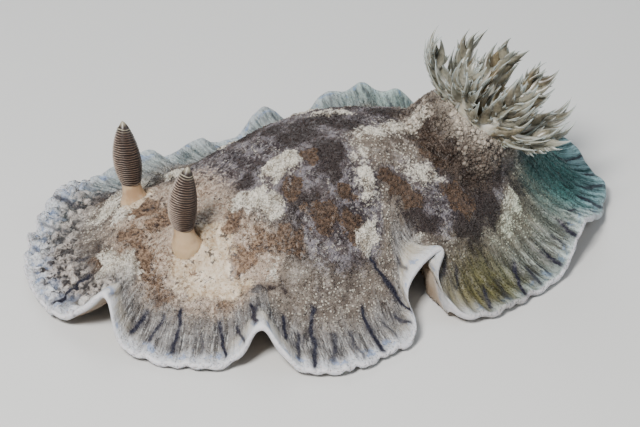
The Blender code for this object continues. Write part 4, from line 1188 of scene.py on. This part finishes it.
def bow(piece, matrix, amount, root, tip):
    # bends a rhinophore gently forwards in the middle, as a bow
    places = np.array([v.co for v in piece.data.vertices]) / mm
    local = inFrame(places, matrix)
    share = np.clip((local[:, 2] - root) / (tip - root), 0, 1)
    local[:, 0] -= amount * np.sin(math.pi * share ** 0.8)
    piece.data.vertices.foreach_set("co", (outOfFrame(local, matrix) * mm).astype(np.float32).ravel())
    piece.data.update()


def buildFeelers():
    clubLook, stalkLook = clubMaterial(), stalkMaterial()
    tree = leafTree(clubLook)
    length, radius, coreEnd = club["length"], club["radius"], club["coreEnd"]
    floorAt = -feelers["pocketDepth"] + feelers["gap"]
    root = floorAt + stalk["length"] + feelers["gap"]
    tip = root + length
    for side in ("left", "right"):
        matrix = feelerFrame(side)
        leaves = growPiece("clubLeaves_" + side, bpy.data.meshes.new("start"), tree, {
            "Leaves": club["leaves"], "Low": (root + 0.1) * mm, "High": (root + length * club["leafEnd"]) * mm,
            "Radius": radius * mm, "Thickness": club["leafThickness"] * mm, "Tilt": math.radians(club["tilt"])},
            metres(matrix))
        profile = [(clubWidth(t * coreEnd) * radius * club["coreWidth"], root + length * coreEnd * t)
                   for t in np.linspace(0, 1, 30)]
        wide, top = profile[-1]
        profile += [(wide * f, top + (tip - top) * g) for f, g in club["tip"]]
        core = lathe("clubCore_" + side, profile, matrix, 32, clubLook)
        stem = [(2.85, floorAt), *stalk["profile"], (1.85, root), (1.7, root + 0.5)]
        levels = np.linspace(stem[0][1], stem[-1][1], 24)
        radii = np.interp(levels, [h for _, h in stem], [r for r, _ in stem])
        stand = lathe("stalk_" + side, list(zip(radii.tolist(), levels.tolist())), matrix, 40, stalkLook)
        for piece, low, high in ((core, root, tip), (stand, 0.8, root)):
            local = inFrame(np.array([v.co for v in piece.data.vertices]) / mm, matrix)
            storeField(piece.data, "height", (local[:, 2] - low) / (high - low))
            for name in ("rim", "paintedFrontLight"):
                storeField(piece.data, name, np.zeros(len(local)))
        for piece, slot, node in ((leaves, "rhinophore", "rhinophore_"), (core, "rhinophore", "rhinophore_"),
                                  (stand, "stalk", "rhinophore_stalk_")):
            bow(piece, matrix, club["bend"][side], 1.6, tip)
            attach(piece, "root")
            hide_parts(node + side)


buildFeelers()
print("stage: rhinophores")

# Gill: branching leaves, each a broad fleshy stem that frays into pointed fingers
gillLook = dict(
    taller=1.08, stemWiden=1.9, stemRings=16, stemSides=12,
    # how many pairs of fingers, more on the stem's faces, and short ones in the crown
    pairs=5, inner=4, filling=3,
    rise=8.6, broad=2.7, fingerRings=12, fingerSides=8, smallRings=7, smallSides=6, offshoots=2,
    flame=([0, 0.2, 0.4, 0.6, 0.8, 1], [0.72, 1.0, 0.88, 0.56, 0.28, 0.06]),
    # how brown each plume is inside, partly its own brown and partly painted shade deep in the crown
    plumeBrownAndShade=[1.0, 1.0, 0.8, 0.35, 0.45, 0.8, 0.55, 0.7],
    base=((0.58, 0.54, 0.43), ("mottle", 0.38, 0.60, 1, (0.82, 0.79, 0.70))),
    finger=((0.105, 0.100, 0.072), ("mottle", 0.36, 0.62, 1, (0.30, 0.30, 0.25)),
            ("rim", 0.35, 1.0, 1, (0.38, 0.40, 0.355))),
    brown=((0.055, 0.037, 0.016), ("mottle", 0.42, 0.60, 1, (0.175, 0.135, 0.070))),
    tips=((0.26, 0.31, 0.31), ("rim", 0.3, 0.95, 1, (0.52, 0.58, 0.58))),
    surface={"Roughness": 0.32, "Subsurface Weight": 0.4, "Subsurface Radius": (1.0, 0.8, 0.6),
             "Subsurface Scale": 0.0010},
    # the disc and the papilla: radius and height, the disc's lower two from its floor, the others from its top
    discFoot=((8.0, 0.0), (8.3, 0.8)), discTop=((8.2, -0.5), (7.6, -0.1), (5.0, 0.1)),
    papilla=((2.4, -0.1), (2.1, 0.8), (1.7, 1.9), (1.45, 3.2), (1.25, 3.9), (0.9, 4.15), (0.5, 4.0), (0.35, 3.4)),
)


def gillMaterial():
    material, tree, shader, place = newMaterial("gillFlesh")
    sources = {name: field(tree, name) for name in ("along", "rim", "shade")}
    sources["mottle"] = grain(tree, place, 330, 4, 0.65)
    base, finger = toned(tree, sources, gillLook["base"]), toned(tree, sources, gillLook["finger"])
    brown, tips = toned(tree, sources, gillLook["brown"]), toned(tree, sources, gillLook["tips"])
    along = sources["along"]
    colour = toned(tree, sources, (base, ("along", 0.18, 0.60, 1, finger)))
    # brown laid over the fingers' middles: partly their own brown, partly painted shade inside the crown
    insideBrownAndShade = times(tree, sources["shade"], ramp(tree, along, 0.28, 0.44))
    insideBrownAndShade = times(tree, insideBrownAndShade, ramp(tree, along, 1.0, 0.72))
    colour = laidOver(tree, colour, brown, insideBrownAndShade, 0.9)
    colour = toned(tree, sources, (colour, ("along", 0.72, 1.02, 1, tips)))
    finishShader(tree, shader, colour, gillLook["surface"])
    return material


class BladeHeap:
    # closed tapered blades gathered into one mesh; each point knows how far along it lies and if on a rim
    def __init__(self):
        self.verts, self.faces, self.along, self.rim, self.shade = [], [], [], [], []

    def add(self, path, widths, facing, sides, along, shade):
        base = len(self.verts)
        for i, point in enumerate(path):
            ahead = (path[min(i + 1, len(path) - 1)] - path[max(i - 1, 0)]).normalized()
            across = ahead.cross(facing).normalized()
            face = across.cross(ahead).normalized()
            for k in range(sides):
                angle = 2 * math.pi * k / sides
                out, up = widths[i] * 0.5 * math.cos(angle), widths[i] * 0.25 * math.sin(angle)
                self.verts.append(tuple(point + across * out + face * up))
                self.along.append(along[i])
                self.rim.append(abs(math.cos(angle)) ** 2)
                self.shade.append(shade)
        for row in range(len(path) - 1):
            for k in range(sides):
                m = (k + 1) % sides
                a, b = base + row * sides, base + (row + 1) * sides
                self.faces.append((a + k, a + m, b + m, b + k))
        last = base + (len(path) - 1) * sides
        self.faces.append(tuple(base + k for k in range(sides))[::-1])
        self.faces.append(tuple(last + k for k in range(sides)))


def growFinger(heap, rng, root, forward, aside, face, length, broad, along, shade, small=False):
    # a flame-shaped finger that leaves its stem sideways and then turns to run beside it
    lean, spread, curl = rng.uniform(0.15, 0.4), rng.uniform(0.55, 0.85), rng.uniform(0.15, 0.42)
    shares = np.linspace(0, 1, gillLook["smallRings" if small else "fingerRings"])
    path = [root + aside * (length * spread * t * (1 - 0.48 * t)) + forward * (length * (0.45 * t + 0.5 * t * t))
            + face * (length * (lean * t - curl * t ** 3)) for t in shares.tolist()]
    widths = (np.interp(shares, *gillLook["flame"]) * broad).tolist()
    alongs = (along + (1.02 - along) * shares * rng.uniform(0.85, 1.0)).tolist()
    heap.add(path, widths, face, gillLook["smallSides" if small else "fingerSides"], alongs, shade)
    if small:
        return
    for number in range(gillLook["offshoots"]):
        for hand in (-1, 1):
            i = int((0.08 + 0.19 * (number + rng.uniform(0, 0.9))) * (len(path) - 1)) + 1
            ahead = (path[i + 1] - path[i - 1]).normalized()
            flank = ahead.cross(face).normalized() * hand
            start = path[i] + flank * widths[i] * 0.22 - ahead * 0.4
            reach = length * (0.42 - 0.06 * number) * rng.uniform(0.7, 1.1)
            growFinger(heap, rng, start, ahead, flank, face, reach, broad * 0.46, alongs[i], shade, True)


def growPlume(index, heap):
    rng = random.Random(gill["seed"] + index)
    lean, length = gill["plumes"][index]
    length *= gillLook["taller"]
    bearing = 2 * math.pi * (index + 0.5) / len(gill["plumes"])
    outward = Vector((math.cos(bearing), math.sin(bearing), 0))
    sideways, up = Vector((-outward.y, outward.x, 0)), Vector((0, 0, 1))
    bend = math.radians(gill["bend"] + rng.uniform(-2, 2))
    splay = math.radians(lean) + bend * 0.8
    height = -gill["pocketDepth"] + gill["gap"] + gill["discHeight"] - 0.4
    root = outward * (gill["discRadius"] - gill["stem"] * 0.55) + up * height
    plumeBrownAndShade = gillLook["plumeBrownAndShade"][index]

    def stem(share):
        turn = splay + bend * math.sin(math.pi * share) - bend * 0.8 * share
        return root + (outward * math.sin(turn) + up * math.cos(turn)) * (length * share)

    def fork(share):
        forward = (stem(share + 0.05) - stem(share - 0.05)).normalized()
        return stem(share), forward, sideways.cross(forward).normalized()

    shares = np.linspace(0, 1, gillLook["stemRings"])
    widths = (gill["stem"] + gillLook["stemWiden"]) * (1 - shares) ** 0.8 + 0.10
    heap.add([stem(t) for t in shares.tolist()], widths.tolist(), outward, gillLook["stemSides"],
             (shares * 0.95).tolist(), plumeBrownAndShade * 0.5)
    for pair in range(gillLook["pairs"]):
        share = 0.20 + 0.64 * pair / (gillLook["pairs"] - 1)
        place, forward, face = fork(share)
        for sign in (-1, 1):
            reach = (1.12 - 0.66 * share) * rng.uniform(0.82, 1.12)
            start = place - forward * 0.8 + sideways * (sign * widths[int(share * (len(shares) - 1))] * 0.18)
            growFinger(heap, rng, start, forward, sideways * sign, face, gillLook["rise"] * reach,
                       gillLook["broad"] * (1.1 - 0.4 * share), 0.15 + 0.35 * share, plumeBrownAndShade * rng.uniform(0.3, 1))
    for _ in range(gillLook["inner"]):
        # more fingers stand on the stem's inner face, and a few on its outer one; those on the inner face take
        # more painted shade
        share, way = rng.uniform(0.22, 0.70), -1 if rng.random() < 0.75 else 1
        place, forward, face = fork(share)
        growFinger(heap, rng, place - forward * 0.5, forward, face * way, sideways * rng.choice((-1, 1)),
                   gillLook["rise"] * rng.uniform(0.55, 0.85), gillLook["broad"] * 0.85, 0.2 + 0.3 * share,
                   plumeBrownAndShade * (1.0 if way < 0 else 0.3))
    for _ in range(gillLook["filling"]):
        # short fingers fill the crown between the papilla and the stem, darker with brown and painted shade
        turn = rng.uniform(-0.8, 0.8) * math.pi / len(gill["plumes"])
        away = outward * math.cos(turn) + sideways * math.sin(turn)
        start = away * rng.uniform(3.6, 5.4) + up * (height - 0.2)
        forward = (up + outward * rng.uniform(0.0, 1.0) * math.tan(splay)).normalized()
        aside, face = sideways * rng.choice((-1, 1)), sideways.cross(forward).normalized()
        growFinger(heap, rng, start, forward, aside, face, length * rng.uniform(0.5, 0.75),
                   gillLook["broad"] * 1.1, 0.3, 1.0)


def buildGill():
    look = gillMaterial()
    matrix = gillFrame()
    for index in range(len(gill["plumes"])):
        heap = BladeHeap()
        growPlume(index, heap)
        plume = newPiece(f"gillPlume_{index + 1}", outOfFrame(np.array(heap.verts), matrix), heap.faces)
        for name, values in (("along", heap.along), ("rim", heap.rim), ("shade", heap.shade)):
            storeField(plume.data, name, values)
        plume.data.shade_smooth()
        plume.data.materials.append(look)
        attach(plume, "root")
        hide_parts(f"gill_plume_{index + 1}")
    floorAt = -gill["pocketDepth"] + gill["gap"]
    top = floorAt + gill["discHeight"]
    profile = [(radius, floorAt + height) for radius, height in gillLook["discFoot"]]
    profile += [(radius, top + height) for radius, height in gillLook["discTop"]]
    disc = lathe("gillDisc", profile, matrix, 48, look)
    papilla = lathe("analPapilla", [(radius, top + height) for radius, height in gillLook["papilla"]],
                    matrix, 32, look)
    for piece, node, value in ((disc, "gill_disc", 0.1), (papilla, "anal_papilla", 0.2)):
        for name, level in (("along", value), ("rim", 0.0), ("shade", 0.4)):
            storeField(piece.data, name, np.full(len(piece.data.vertices), level))
        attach(piece, "root")
        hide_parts(node)


buildGill()
print("stage: gill")

# The small head and its oral lobes, tucked under the front of the mantle
head = dict(
    length=5.0, halfWidth=5.0, low=0.5, high=3.6, sides=32, rings=14, lobeSides=24, lobeOut=2.0, lobeTurn=0.35,
    lobe=[(0.5, -0.4), (1.2, 0.2), (1.5, 1.2), (1.45, 2.0), (1.1, 2.8), (0.6, 3.2), (0.2, 3.35)],
    tone=((0.40, 0.31, 0.22), ("mottle", 0.35, 0.65, 1, (0.54, 0.46, 0.36))),
    surface={"Roughness": 0.4, "Subsurface Weight": 0.15, "Subsurface Scale": 0.001},
)


def headMaterial():
    material, tree, shader, place = newMaterial("headFlesh")
    colour = toned(tree, dict(mottle=grain(tree, place, 260, 4)), head["tone"])
    finishShader(tree, shader, colour, head["surface"], grain(tree, place, 800, 4), strength=0.35, depth=0.0004)
    return material


def buildHead():
    look = headMaterial()
    front = foot["front"] + 0.6
    middle, half = (head["low"] + head["high"]) / 2, (head["high"] - head["low"]) / 2
    sides, rings = head["sides"], head["rings"]
    verts, faces = [], []
    for t in np.linspace(0, 1, rings).tolist():
        swell = math.sqrt(max(1 - (t * 0.985) ** 2.4, 0.01))
        pore = 0.9 * math.exp(-((1 - t) / 0.08) ** 2)
        verts += [(front - head["length"] * t - 0.9 + pore * 0.6, head["halfWidth"] * swell * math.cos(a),
                   middle + half * swell * math.sin(a)) for a in np.arange(sides) * 2 * math.pi / sides]
    last = (rings - 1) * sides
    for k in range(sides):
        m = (k + 1) % sides
        faces += [(row + k, row + m, row + sides + m, row + sides + k) for row in range(0, last, sides)]
    faces += [tuple(range(sides)), tuple(range(last, last + sides))]
    snout = newPiece("headSkin", verts, faces)
    tidyPiece(snout)
    snout.data.materials.append(look)
    pieces = [(snout, "head")]
    for side, sign in (("left", -1), ("right", 1)):
        root = foot["front"] - 0.3, sign * (head["halfWidth"] + head["lobeOut"]), 2.0
        matrix = frameAt(root, (-1, head["lobeTurn"] * sign, 0))
        lobe = lathe("oralLobe_" + side, head["lobe"], matrix, head["lobeSides"], look)
        pieces.append((lobe, "oral_lobe_" + side))
    for piece, node in pieces:
        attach(piece, "root")
        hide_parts(node)


buildHead()
print("stage: head")
